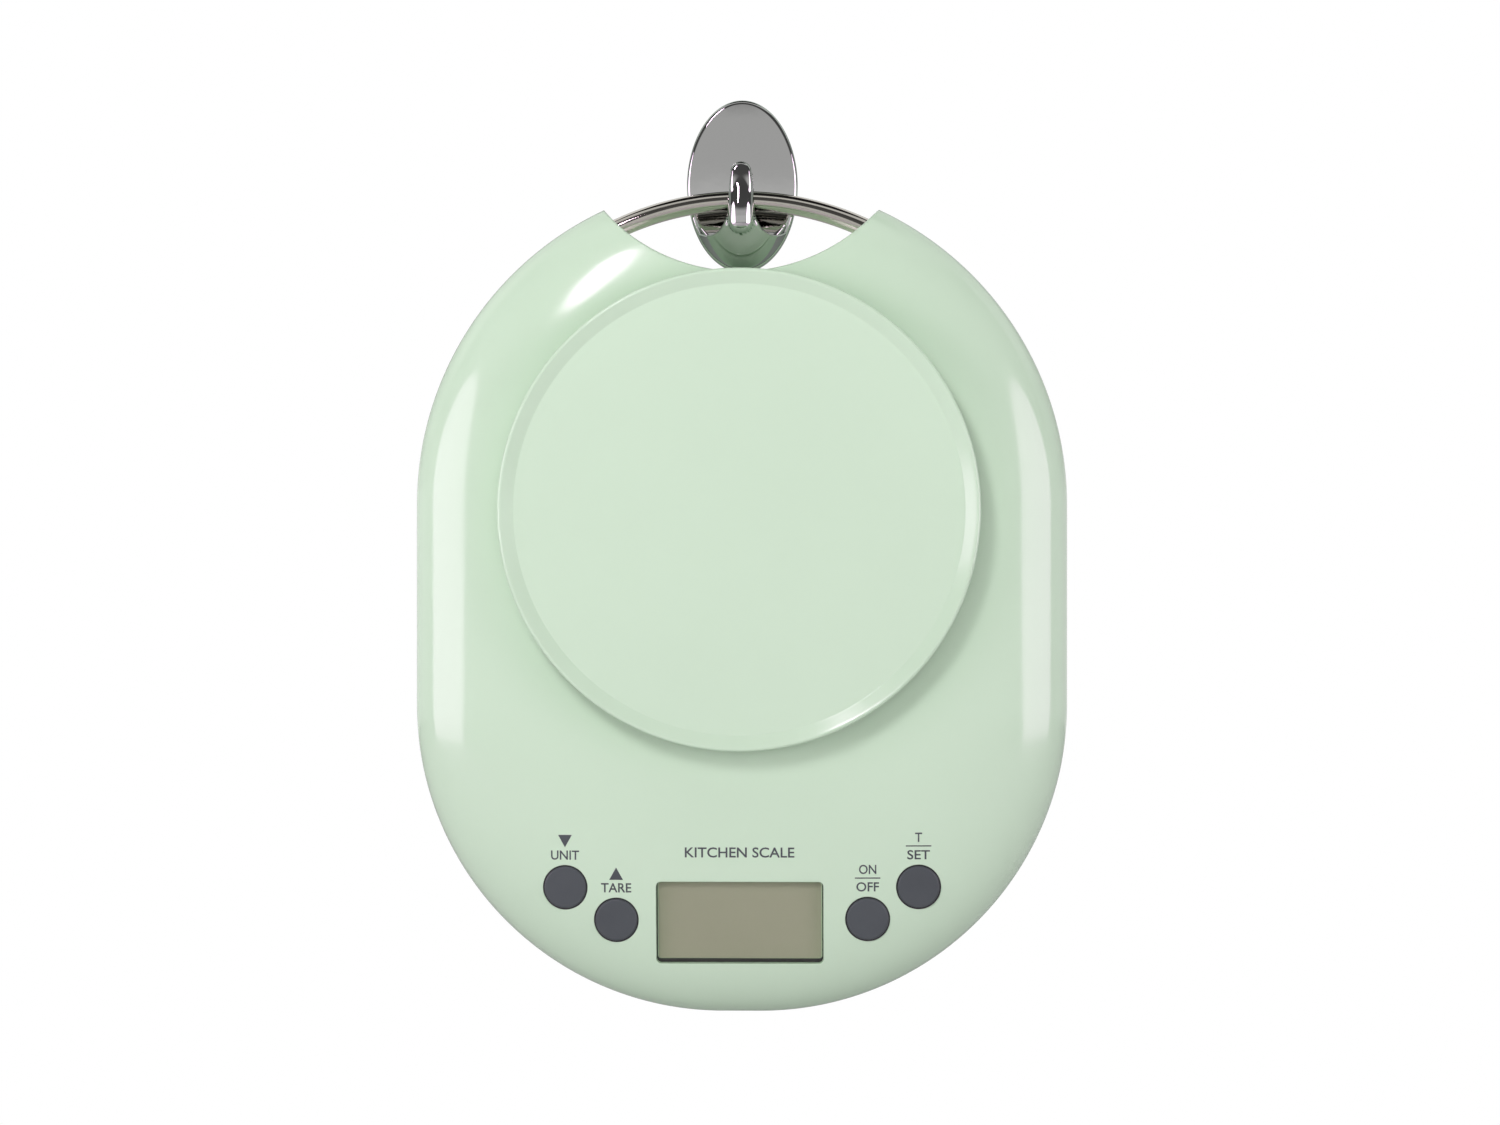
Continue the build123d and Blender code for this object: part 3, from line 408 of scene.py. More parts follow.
def inside(points, polygon):
    """Which points lie inside a polygon."""
    result = np.zeros(len(points), bool)
    for (x0, z0), (x1, z1) in zip(polygon, np.roll(polygon, -1, axis=0)):
        if z0 == z1:
            continue
        crosses = (points[:, 1] >= min(z0, z1)) & (points[:, 1] < max(z0, z1))
        at = x0 + (points[:, 1] - z0) * (x1 - x0) / (z1 - z0)
        result ^= crosses & (points[:, 0] < at)
    return result


# --- Top housing ---
def button_centre(name):
    x, _, z = span("button_" + name)
    return (x[0] + x[1]) / 2, (z[0] + z[1]) / 2


def post_centre(number):
    turn = radians(45 + 90 * number)
    return POST_CIRCLE * cos(turn), PLATFORM_CENTRE_Z + POST_CIRCLE * sin(turn)


def make_top_housing():
    """The glossy upper shell as a closed skin: dome, notch wall, holes and the window's ledge."""
    circles = [(*button_centre(name), BUTTON_HOLE_RADIUS, HOLE_FILLET) for name in BUTTON_NAMES]
    circles += [(*post_centre(number), POST_HOLE_RADIUS, HOLE_FILLET) for number in range(4)]
    openings = [(round_edge(*NOTCH), EDGE_FILLET), (window_edge, HOLE_FILLET)]
    openings += [(round_edge(x, z, radius), fillet) for x, z, radius, fillet in circles]

    outline = body_outline()
    left_tip = outline[-1]
    notch_turn = degrees(atan2(left_tip[1] - NOTCH[1], left_tip[0]))
    notch_arc = arc(NOTCH[:2], NOTCH[2], notch_turn, -180 - notch_turn, 90)[1:-1]
    window = rounded_loop(WINDOW_HALF[0], WINDOW_HALF[1], WINDOW_CORNER)
    window_flat = window * (1, cos(WINDOW_TILT)) + (0, WINDOW_Z)

    points = [outline, notch_arc]
    loops = [list(range(len(outline) + len(notch_arc)))]
    count = len(loops[0])
    for loop in [window_flat] + [arc((x, z), radius, 0, 360, 73)[:-1] for x, z, radius, _ in circles]:
        points.append(loop)
        loops.append(list(range(count, count + len(loop))))
        count += len(loop)
    hole_loops = loops[1:]

    def window_row(grow, *fineness):
        loop = rounded_loop(WINDOW_HALF[0] + grow, WINDOW_HALF[1] + grow, WINDOW_CORNER + grow, *fineness)
        return loop * (1, cos(WINDOW_TILT)) + (0, WINDOW_Z)

    def notch_row(grow, count, least):
        row = arc(NOTCH[:2], NOTCH[2] + grow, notch_turn, -180 - notch_turn, count)
        return row[inset(*row.T)[0] > least]

    rows = []
    for turn in fillet_rows(5)[1:]:
        share = 1 - sin(turn)
        rows.append(window_row(share * HOLE_FILLET))
        rows += [arc((x, z), radius + share * fillet, 0, 360, 73)[:-1] for x, z, radius, fillet in circles]
        rows.append(notch_row(share * EDGE_FILLET, 92, 0.05))
    for grow in (0.7, 1.4):
        rows += [arc((x, z), radius + grow, 0, 360, 37)[:-1] for x, z, radius, _ in circles]
        rows += [window_row(grow, 4, 12), notch_row(grow, 70, 0.4)]
    points += rows

    filler = []
    inward = np.column_stack(inset(*outline.T)[1:])
    depths = [np.interp(length, PROFILE_LENGTH, PROFILE_RUN)
              for length in np.arange(0.35, PROFILE_LENGTH[-1], 1.3)]
    for number, depth in enumerate(depths):
        step = 1 if depth < 25 else 2
        filler.append(outline[number % step::step] + inward[number % step::step] * depth)
    grid = square_grid(-60, 60, -200, -20, 3.6)
    filler.append(grid[inset(*grid.T)[0] > DOME_WIDTH + 0.5])
    filler = np.concatenate(filler)
    for measure, _ in openings:
        filler = filler[measure(*filler.T)[0] > 2.0]
    points = np.concatenate(points + [filler])

    faces = triangles(points, loops, unrolled(points))
    x, z = points.T
    depth, normal = dome(x, z)
    below = dome(x, z, SHELL_WALL)[0]
    for measure, fillet in openings:
        distance, way_x, way_z = measure(x, z)
        sine = np.clip(1 - np.maximum(distance, 0) / fillet, 0, 1)
        cosine = np.sqrt(1 - sine ** 2)
        depth = depth - fillet * (1 - cosine)
        wall = coords(-way_x, 0, -way_z)
        normal = normal * cosine[:, None] + wall * sine[:, None]
    depth = np.maximum(depth, JOINT_DEPTH)
    depth[:len(outline)] = JOINT_DEPTH
    below[round_edge(*NOTCH)(x, z)[0] < SHELL_WALL] = JOINT_DEPTH
    for cx, cz, radius, _ in circles[:4]:
        below[round_edge(cx, cz, radius)(x, z)[0] < 1.0] = BUTTON_HOLE_FOOT
    window_back = LENS_RECESS + LENS_THICKNESS + LEDGE
    near = window_edge(x, z)[0] < 1.0
    below[near] = WINDOW_DEPTH + (z[near] - WINDOW_Z) * tan(WINDOW_TILT) - window_back
    below = np.minimum(below, depth)
    below[:len(outline)] = JOINT_DEPTH

    total = len(points)
    bottom_number = np.arange(total, 2 * total) - len(outline)
    bottom_number[:len(outline)] = np.arange(len(outline))
    vertices = np.concatenate([coords(x, depth, z), coords(x, below, z)[len(outline):]])
    all_faces, all_normals = [], []

    def add(face, face_normals):
        if len(set(face)) < 3:
            return
        all_faces.append(face)
        all_normals.extend(face_normals)

    for face in faces:
        add(tuple(face), normal[face])
    for face in faces:
        under = tuple(bottom_number[face[::-1]])
        on_rim = all(i < len(outline) for i in under)
        add(under, [(0, 1 if on_rim else 0, 0)] * 3)

    def add_wall(upper, lower, directions):
        """A strip between two rows, with the normals of the rows' own points."""
        size = len(upper)
        for i in range(size):
            j = (i + 1) % size
            add((upper[j], lower[j], lower[i], upper[i]), [directions[k] for k in (j, j, i, i)])

    notch_loop = list(range(len(outline) - 1, len(loops[0]))) + [0]
    toward_notch = coords(-x[notch_loop] / NOTCH[2], 0, -(z[notch_loop] - NOTCH[1]) / NOTCH[2])
    for i in range(len(notch_loop) - 1):
        a, b = notch_loop[i], notch_loop[i + 1]
        quad = (a, b, bottom_number[b], bottom_number[a])
        marks = (i, i + 1, i + 1, i)
        kept = [k for k in range(4) if quad[k] not in quad[:k]]
        add(tuple(quad[k] for k in kept), [toward_notch[marks[k]] for k in kept])
    for loop, (cx, cz, radius, _) in zip(hole_loops[1:], circles):
        add_wall(loop, bottom_number[loop], coords((cx - x[loop]) / radius, 0, (cz - z[loop]) / radius))

    window_loop = hole_loops[0]
    _, way_x, way_z = window_edge(x[window_loop] * 1.0001, WINDOW_Z + (z[window_loop] - WINDOW_Z) * 1.0001)
    directions = coords(-way_x, 0, -way_z)
    lens_back = LENS_RECESS + LENS_THICKNESS
    aperture = rounded_loop(*APERTURE_HALF, 0.8)
    added = [on_window_plane(window, 0, lens_back), on_window_plane(aperture, APERTURE_LIFT, lens_back),
             on_window_plane(aperture, APERTURE_LIFT, window_back)]
    start = len(vertices)
    vertices = np.concatenate([vertices] + added)
    size = len(window)
    seat, lip, foot = (np.arange(start + k * size, start + (k + 1) * size) for k in range(3))
    facing = np.array([(0, -cos(WINDOW_TILT), -sin(WINDOW_TILT))] * size)
    add_wall(window_loop, seat, directions)
    add_wall(seat, lip, facing)
    add_wall(lip, foot, directions)
    add_wall(foot, bottom_number[window_loop], -facing)
    return piece("top_shell", "scale", "mint_gloss", vertices, all_faces, ("top_housing",), all_normals)


# --- Platform ---
def make_platform():
    """A shallow dish: flat middle, sloped inner rim that starts crisply, rounded lip and skirt."""
    profile = [(radius, PLATFORM_FLAT) for radius in (0, 15, 30, 45, 55, 60, PLATFORM_FLAT_RADIUS - 0.5)]
    lip_depth = PLATFORM_TOP - PLATFORM_LIP
    lip_radius = PLATFORM_RADIUS - PLATFORM_LIP
    crease = 0.35
    for k in range(6):
        slope = PLATFORM_SLOPE * k / 5
        reach = crease * sin(slope) / sin(PLATFORM_SLOPE)
        profile.append((PLATFORM_FLAT_RADIUS + reach, PLATFORM_FLAT + reach * tan(slope) / 2))
    start = profile[-1]
    lip_start = (lip_radius - PLATFORM_LIP * sin(PLATFORM_SLOPE),
                 lip_depth + PLATFORM_LIP * cos(PLATFORM_SLOPE))
    for k in range(1, 6):
        profile.append(tuple(a + (b - a) * k / 6 for a, b in zip(start, lip_start)))
    whole = radians(90) + PLATFORM_SLOPE
    for turn in (whole - whole * k / 14 for k in range(15)):
        profile.append((lip_radius + PLATFORM_LIP * cos(turn), lip_depth + PLATFORM_LIP * sin(turn)))
    profile += [(PLATFORM_RADIUS - 0.4, PLATFORM_SKIRT + 0.3), (PLATFORM_RADIUS - 0.7, PLATFORM_SKIRT)]
    inside_radius = PLATFORM_RADIUS - PLATFORM_WALL
    under = PLATFORM_FLAT - PLATFORM_WALL
    profile += [(inside_radius - 0.3, PLATFORM_SKIRT), (inside_radius - 0.6, PLATFORM_SKIRT + 0.3),
                (inside_radius - 1.4, under - 1.2), (inside_radius - 2.0, under - 0.4),
                (inside_radius - 3.4, under), (0, under)]
    parts = [turned(profile, 0, PLATFORM_CENTRE_Z, 288)]
    for number in range(4):
        x, z = post_centre(number)
        boss = [(0, under + 0.1), (5.0, under + 0.1), (5.0, POST_TOP + 0.3), (4.7, POST_TOP), (0, POST_TOP)]
        parts.append(turned(boss, x, z, 32))
    points, faces = join(parts)
    return piece("weighing_platform", "platform", "mint_gloss", points, faces, ("platform",), sharp=12.0)


# --- Hanging bar ---
def bar_route():
    """Points and headings along the right half of the bar's centreline, from its top."""
    x, z, heading = 0.0, BAR_TOP_Z, 0.0
    route = [(x, z, heading)]
    for radius, angle, steps in ((BAR_ARC_RADIUS, BAR_HALF_ANGLE, 60), (*BAR_BEND, 24), (None, BAR_LEG, 2)):
        for _ in range(steps):
            if radius is None:
                length, turn = angle / steps, 0.0
            else:
                turn = radians(angle) / steps
                length = 2 * radius * sin(turn / 2)
            heading -= turn / 2
            x += length * cos(heading)
            z += length * sin(heading)
            heading -= turn / 2
            route.append((x, z, heading))
    return route


def make_bar():
    """The bent steel rod, with a UV map along and round it for its draw marks."""
    right = bar_route()
    left = [(-x, z, -heading) for x, z, heading in reversed(right[1:])]
    route = left + right
    segments = 40
    round_turn = whole_turn(segments)
    rows = []
    for number, (x, z, heading) in enumerate(route):
        radius = BAR_RADIUS - (0.5 if number in (0, len(route) - 1) else 0)
        across, out = radius * np.cos(round_turn), radius * np.sin(round_turn)
        rows.append(coords(x - across * sin(heading), BAR_DEPTH + out, z + across * cos(heading)))
    points, faces = loft(rows)
    obj = piece("steel_bar", "scale", "polished_steel", points, faces, ("hanging_bar",), sharp=60)
    layer = obj.data.uv_layers.new(name="along_round")
    lengths = np.cumsum([0] + [hypot(b[0] - a[0], b[1] - a[1]) for a, b in zip(route, route[1:])])
    for polygon in obj.data.polygons:
        numbers = [obj.data.loops[i].vertex_index for i in polygon.loop_indices]
        wraps = {n % segments for n in numbers} == {0, segments - 1}
        for i, n in zip(polygon.loop_indices, numbers):
            around = n % segments + (segments if wraps and n % segments == 0 else 0)
            layer.data[i].uv = (lengths[n // segments] * 0.01, around / segments)
    return obj


# --- Wall hook ---
def egg(x, z):
    """Depth of the hook's egg-shaped front."""
    return HOOK_BULGE * np.sqrt(np.maximum(1 - (x / HOOK_HALF[0]) ** 2 - (z / HOOK_HALF[1]) ** 2, 0))


def low_half():
    """Half axes of the oval where the cup meets the plate."""
    share = sqrt(1 - ((HOOK_PLATE[1] - 0.2) / HOOK_BULGE) ** 2)
    return np.array(HOOK_HALF) * share


def free_edge():
    """The hook's free upper edge from the right end over the finger to the left end."""
    cx, cz, half_width, fall = SCALLOP
    half = low_half()

    def on_scallop(turn):
        return np.column_stack([cx + half_width * np.cos(turn), cz + fall * np.sin(turn)])

    outer, inner = radians(-20), radians(-80)
    for _ in range(40):
        middle = (outer + inner) / 2
        if np.hypot(*(on_scallop(np.array([middle]))[0] / half)) > 1:
            outer = middle
        else:
            inner = middle
    scallop = on_scallop(np.linspace(inner, radians(-150), 24))
    foot = scallop[-1]
    side = [(FINGER_HALF[0] + (foot[0] - FINGER_HALF[0]) * (1 - share) ** 2.4,
             foot[1] + (FINGER_FOOT_Z - foot[1]) * share) for share in np.linspace(0, 1, 9)[1:]]
    upper = [(FINGER_HALF[0] + (FINGER_HALF[1] - FINGER_HALF[0]) * share,
              FINGER_FOOT_Z + (FINGER_TIP_CENTRE_Z - FINGER_FOOT_Z) * share)
             for share in np.linspace(0, 1, 14)[1:-1]]
    tip = arc((0, FINGER_TIP_CENTRE_Z), FINGER_HALF[1], 0, 90, 15)
    right = np.concatenate([scallop, side, upper, tip])
    return np.concatenate([right, right[-2::-1] * (-1, 1)])


def finger_width(z):
    share = np.clip((z - FINGER_FOOT_Z) / (FINGER_TIP_CENTRE_Z - FINGER_FOOT_Z), 0, 1)
    return FINGER_HALF[0] + (FINGER_HALF[1] - FINGER_HALF[0]) * share


def edge_distance(x, z, edge):
    """Distance from points to a polyline."""
    best = np.full(len(x), 1e9)
    for (x0, z0), (x1, z1) in zip(edge, edge[1:]):
        run_x, run_z = x1 - x0, z1 - z0
        share = np.clip(((x - x0) * run_x + (z - z0) * run_z) / (run_x ** 2 + run_z ** 2), 0, 1)
        best = np.minimum(best, np.hypot(x - x0 - share * run_x, z - z0 - share * run_z))
    return best


def hook_front(x, z, edge):
    """Depth of the cup and finger: the egg with rounded rims, and a half-round finger on it."""
    rim = 1.0
    sine = np.clip(1 - edge_distance(x, z, edge) / rim, 0, 1)
    cup = egg(x, z) - rim * (1 - np.sqrt(1 - sine ** 2))
    line_z = np.clip(z, FINGER_BASE_Z, FINGER_TIP_CENTRE_Z)
    share = np.hypot(x, z - line_z) / finger_width(line_z)
    fall = np.sqrt(np.maximum(1 - share ** 2, 0))
    crest = FINGER_CREST[0] - FINGER_CREST[2] * (line_z - FINGER_CREST[1]) ** 2
    finger = crest - FINGER_ROUND * (1 - fall)
    finger = np.where(share < 1.0001, finger, -50)
    soft = 0.25
    top = np.maximum(cup, finger)
    return top + soft * np.log1p(np.exp(-np.abs(cup - finger) / soft))


def make_bed():
    """The cup's floor: it falls from the plate forwards and down to the cup's inside."""
    half = low_half() * 0.96
    end = half[0] * sqrt(1 - (BED_TOP_Z / half[1]) ** 2)
    turn = atan2(BED_TOP_Z / half[1], end / half[0])
    bow = np.linspace(turn, -pi - turn, 60)
    chord = np.column_stack([np.linspace(-end, end, 40)[1:-1], np.full(38, BED_TOP_Z)])
    boundary = np.concatenate([np.column_stack([np.cos(bow), np.sin(bow)]) * half, chord])[::-1]
    grid = square_grid(-15, 15.01, -23, BED_TOP_Z - 0.3, 0.5)
    points = np.concatenate([boundary, grid[np.hypot(*(grid / half).T) < 0.975]])
    loop = list(range(len(boundary)))
    faces = triangles(points, [loop])
    x, z = points.T
    fall = np.maximum(BED_TOP_Z - z, 0)
    start = HOOK_PLATE[1] - 0.1
    front = np.minimum(start + 0.33 * fall ** 1.1, np.maximum(egg(x, z) - 1.3, start))
    total = len(points)
    vertices = np.concatenate([coords(x, front, z), coords(x, HOOK_PLATE[1] - 0.6, z)])
    skin = [tuple(face) for face in faces] + [tuple(face[::-1] + total) for face in faces]
    skin += [(b, a, a + total, b + total) for a, b in zip(loop, loop[1:] + loop[:1])]
    return vertices, skin


def make_hook():
    """Chromed casting: oval plate with a rounded rim, cup with two scallops, finger and saddle."""
    edge = free_edge()
    half = low_half()
    ends = edge[0] / half
    start_turn = atan2(ends[1], ends[0])
    turns = np.linspace(-pi - start_turn, start_turn, 90)
    low = np.column_stack([np.cos(turns), np.sin(turns)])
    boundary = np.concatenate([edge, (low * half)[1:-1]])
    loop = list(range(len(boundary)))
    direction = np.gradient(edge, axis=0)
    direction /= np.hypot(*direction.T)[:, None]
    inward = np.column_stack([-direction[:, 1], direction[:, 0]])
    rows = [edge + inward * (1 - sin(turn)) for turn in fillet_rows(6)[1:-1]]
    rows += [low[2:-2] * half * share for share in (0.985, 0.965, 0.94, 0.91, 0.88, 0.85)]
    grid = square_grid(-15, 15.01, -24, 6.4, 0.4)
    filler = np.concatenate(rows + [grid[np.hypot(*(grid / half).T) < 0.83]])
    filler = filler[inside(filler, boundary)]
    points = np.concatenate([boundary, filler[edge_distance(*filler.T, edge) > 0.03]])
    faces = triangles(points, [loop])
    x, z = points.T
    depth = hook_front(x, z, edge)
    step = 0.02
    slope_x = (hook_front(x + step, z, edge) - hook_front(x - step, z, edge)) / (2 * step)
    slope_z = (hook_front(x, z + step, edge) - hook_front(x, z - step, edge)) / (2 * step)
    normal = coords(-slope_x, -1, -slope_z)
    normal[:len(edge)] = coords(-inward[:, 0], -0.02, -inward[:, 1])
    normal /= np.linalg.norm(normal, axis=1)[:, None]
    rise = np.clip(1 - edge_distance(x, z, edge) / 0.6, 0, 1)
    back = np.minimum(egg(x, z) - HOOK_WALL + 0.6 * (1 - np.sqrt(1 - rise ** 2)), depth - 0.6)
    back[len(edge):len(boundary)] = depth[len(edge):len(boundary)] - 1.2
    total = len(points)
    vertices = np.concatenate([coords(x, depth, z), coords(x, back, z)])
    all_faces = [tuple(face) for face in faces] + [tuple(face[::-1] + total) for face in faces]
    normals = [n for face in faces for n in normal[face]] + [(0, 0, 0)] * (3 * len(faces))
    for a, b in zip(loop, loop[1:] + loop[:1]):
        all_faces.append((b, a, a + total, b + total))
        on_edge = max(a, b) < len(edge)
        normals += [normal[b], normal[a], normal[a], normal[b]] if on_edge else [(0, 0, 0)] * 4

    turn = whole_turn(120)
    oval = np.column_stack([np.cos(turn), np.sin(turn)])
    plate_rows = [(HOOK_PLATE[0], 0.3), (HOOK_PLATE[0] + 0.3, 0.0)]
    plate_rows += [(HOOK_PLATE[1] - HOOK_RIM * (1 - cos(angle)), HOOK_RIM * (1 - sin(angle)))
                   for angle in fillet_rows(8)]
    rings = [(oval * (np.array(HOOK_HALF) - shrink), depth_at) for depth_at, shrink in plate_rows]
    plate = loft([coords(ring[:, 0], depth_at, ring[:, 1]) for ring, depth_at in rings])

    saddle_half, saddle_top = 2.5, BAR_TOP_Z - 1.2
    seat_radius, plate_inside = BAR_RADIUS + 0.12, HOOK_PLATE[1] - 0.5
    side = [(plate_inside, saddle_top), (BAR_DEPTH - 2.9, saddle_top)]
    side += [(BAR_DEPTH + seat_radius * cos(a), BAR_TOP_Z + seat_radius * sin(a))
             for a in np.radians(np.linspace(204, 336, 18))]
    side += [(14.0, saddle_top), (14.0, -14.0), (plate_inside, -20.0)]
    trim, inner_half = 0.25, saddle_half - 0.25
    slices = ((-saddle_half, trim), (-inner_half, 0), (inner_half, 0), (saddle_half, trim))
    saddle = loft([np.array([(offset, depth_at, height - low_by) for depth_at, height in side])
                   for offset, low_by in slices])

    points, faces = join([(vertices, all_faces), plate, saddle, make_bed()])
    normals += [(0, 0, 0)] * (sum(len(face) for face in faces) - len(normals))
    return piece("chrome_hook", "wall_hook", "chrome_plate", points, faces, ("hook_shell",), normals)


# --- Buttons, lens and legends ---
def button_seat(name):
    """A push button's centre, the dome's depth there, and the cap's slopes along x and z."""
    x, z = button_centre(name)
    depth, normal = dome(np.array([x]), np.array([z]))
    slope_x, slope_z = normal[0, ::2] / normal[0, 1] * BUTTON_LEAN
    return x, z, depth[0], slope_x, slope_z


def make_button(name):
    """A round cap, slightly flatter than the dome round it, with a rounded edge."""
    x, z, depth, slope_x, slope_z = button_seat(name)
    turn = whole_turn(72)
    rows = []

    def ring(radius, drop, flat_depth=None):
        ring_x, ring_z = radius * np.cos(turn), radius * np.sin(turn)
        sloped = depth + BUTTON_PROUD + slope_x * ring_x + slope_z * ring_z - drop
        rows.append(coords(x + ring_x, sloped if flat_depth is None else flat_depth, z + ring_z))

    ring(BUTTON_COLLAR[0] - 2.0, 0, BUTTON_HOLE_FOOT - 1.2)
    ring(BUTTON_COLLAR[0], 0, BUTTON_HOLE_FOOT - 1.2)
    ring(BUTTON_COLLAR[0], BUTTON_COLLAR[1])
    ring(BUTTON_RADIUS, BUTTON_COLLAR[1])
    for angle in fillet_rows(6):
        ring(BUTTON_RADIUS - BUTTON_EDGE * (1 - sin(angle)), BUTTON_EDGE * (1 - cos(angle)))
    for radius in (5.0, 3.5, 1.8, 0.05):
        ring(radius, -0.06 * (1 - (radius / 5.8) ** 2))
    points, faces = loft(rows)
    return piece("cap_" + name, "button_" + name, "grey_button", points, faces, ("button_" + name,), sharp=50)


def make_gap_shade_ring(name):
    """A black ring set in the gap round a push button: painted shade for the gap's shadow."""
    x, z, depth, slope_x, slope_z = button_seat(name)
    turn = whole_turn(72)
    inner, outer = BUTTON_RADIUS - 0.1, BUTTON_HOLE_RADIUS - 0.03
    rows = []
    for radius, drop in ((inner, 1.6), (outer, 1.6), (outer, 0.42), (outer - 0.1, 0.34), (inner, 0.34)):
        ring_x, ring_z = radius * np.cos(turn), radius * np.sin(turn)
        rows.append(coords(x + ring_x, depth + slope_x * ring_x + slope_z * ring_z - drop, z + ring_z))
    points, faces = hoop(rows)
    return piece("gap_shade_" + name, "button_" + name, "black_plastic", points, faces, sharp=30)


def make_lens():
    """Clear plate with rounded front edges, sunk a little below the dome."""
    half_x, half_z = WINDOW_HALF[0] - LENS_GAP, WINDOW_HALF[1] - LENS_GAP
    back = LENS_RECESS + LENS_THICKNESS - 0.1
    rows = [on_window_plane(rounded_loop(half_x, half_z, WINDOW_CORNER), 0, back)]
    for angle in fillet_rows(5):
        shrink = LENS_EDGE * (1 - sin(angle))
        loop = rounded_loop(half_x - shrink, half_z - shrink, WINDOW_CORNER - shrink)
        rows.append(on_window_plane(loop, 0, LENS_RECESS + LENS_EDGE * (1 - cos(angle))))
    points, faces = loft(rows)
    return piece("display_lens", "scale", "clear_lens", points, faces, ("lcd_window",), sharp=50)


def make_painted_shade_frame():
    """A thin dark frame between the lens and its ledge, widest along the bottom: painted shade for the
    shadowed bottom of the window.
    """
    outer = rounded_loop(WINDOW_HALF[0] - 0.08, WINDOW_HALF[1] - 0.08, WINDOW_CORNER)
    inner = rounded_loop(*SHADE_FRAME_HALF, SHADE_FRAME_CORNER)
    seat = LENS_RECESS + LENS_THICKNESS
    points, faces = hoop([on_window_plane(outer, 0, seat - 0.03), on_window_plane(outer, 0, seat - 0.08),
                          on_window_plane(inner, SHADE_FRAME_LIFT, seat - 0.08),
                          on_window_plane(inner, SHADE_FRAME_LIFT, seat - 0.03)])
    return piece("display_painted_shade", "scale", "black_plastic", points, faces, sharp=30)


def drape(flat, name):
    """A flat mesh in (x, z, side) laid on the dome: side is 1 for its face and -1 for its foot."""
    points, faces = flat
    x, z, side = points.T
    depth = dome(x, z)[0] + np.where(side > 0, INK_LIFT, -INK_SINK)
    return piece(name, "scale", "grey_button", coords(x, depth, z), faces, sharp=30)


def lettering(text, x, z, height, width):
    """A generic word as thin print, centred at (x, z), of that cap height and width."""
    curve = bpy.data.curves.new("word", "FONT")
    curve.body = text
    curve.extrude = 0.1
    curve.offset = 0.012
    curve.resolution_u = 4
    holder = bpy.data.objects.new("word", curve)
    bpy.context.scene.collection.objects.link(holder)
    bpy.context.view_layer.update()
    mesh = bpy.data.meshes.new_from_object(holder)
    points = np.array([v.co for v in mesh.vertices]).reshape(-1, 3)
    faces = [tuple(p.vertices) for p in mesh.polygons]
    bpy.data.objects.remove(holder)
    bpy.data.curves.remove(curve)
    bpy.data.meshes.remove(mesh)
    low, high = points.min(axis=0), points.max(axis=0)
    middle = (low + high) / 2
    scale = np.array([width, height]) / (high - low)[:2]
    placed = (points[:, :2] - middle[:2]) * scale + (x, z)
    return np.column_stack([placed, np.sign(points[:, 2])]), faces


def bar_mark(x, z, width, height):
    """The rule between two words, in short lengths so that it follows the dome."""
    corners = ((-1, -1), (1, -1), (1, 1), (-1, 1))
    return loft([np.array([(at, z + up * height / 2, side) for up, side in corners])
                 for at in np.linspace(-width / 2, width / 2, 9) + x])


def arrow_mark(x, z, width, height, up):
    """A small triangle that points up or down."""
    tip = height / 2 if up else -height / 2
    corners = [(-width / 2, -tip), (width / 2, -tip), (0, tip)]
    if not up:
        corners.reverse()
    return loft([np.array([(x + a, z + b, side) for a, b in corners]) for side in (-1, 1)])


def make_legends():
    """Generic function words and arrows by the push buttons, and a plain line over the display."""
    upper = {"on_off": ("ON", 4.9), "set": ("T", 2.0)}
    lower = {"unit": ("UNIT", 8.0), "tare": ("TARE", 8.6), "on_off": ("OFF", 6.4), "set": ("SET", 6.4)}
    for name in BUTTON_NAMES:
        x, z = button_centre(name)
        word, width = lower[name]
        drape(lettering(word, x, z + WORD_RISE, CAP_HEIGHT, width), "print_" + name)
        if name in upper:
            word, width = upper[name]
            drape(lettering(word, x, z + UPPER_RISE, CAP_HEIGHT, width), "print_over_" + name)
            drape(bar_mark(x, z + RULE_RISE, 7.2, 0.32), "rule_" + name)
        else:
            drape(arrow_mark(x, z + ARROW_RISE, 3.9, 3.5, name == "tare"), "arrow_" + name)
    drape(lettering("KITCHEN SCALE", 0, *MIDDLE_LINE), "print_middle")


# --- Materials ---
FINISHES = {}


def finish(slot):
    """The material of a slot of the record, made once."""
    if slot not in FINISHES:
        FINISHES[slot] = LOOKS[slot](slot)
    return FINISHES[slot]


def shader(name, colour, roughness, metallic=0.0, **sockets):
    """A Principled material; further sockets by name, with _ for a space."""
    material = bpy.data.materials.new(name)
    material.use_nodes = True
    bsdf = material.node_tree.nodes["Principled BSDF"]
    bsdf.inputs["Base Color"].default_value = (*colour, 1)
    bsdf.inputs["Roughness"].default_value = roughness
    bsdf.inputs["Metallic"].default_value = metallic
    for socket, value in sockets.items():
        bsdf.inputs[socket.replace("_", " ")].default_value = value
    return material


def node(material, kind, **values):
    made = material.node_tree.nodes.new(kind)
    for key, value in values.items():
        if key in made.bl_rna.properties:
            setattr(made, key, value)
        else:
            made.inputs[key.replace("_", " ")].default_value = value
    return made


def link(material, source, output, target, socket):
    material.node_tree.links.new(source.outputs[output], target.inputs[socket])


def principled(material):
    return material.node_tree.nodes["Principled BSDF"]


def noise(material, scale, detail=2.0, stretch=(1, 1, 1), uv=False):
    """Noise in the object's own metres, stretched by axis, or along a UV map."""
    place = node(material, "ShaderNodeTexCoord")
    mapping = node(material, "ShaderNodeMapping")
    mapping.inputs["Scale"].default_value = stretch
    texture = node(material, "ShaderNodeTexNoise", Scale=scale, Detail=detail)
    link(material, place, "UV" if uv else "Object", mapping, "Vector")
    link(material, mapping, "Vector", texture, "Vector")
    return texture


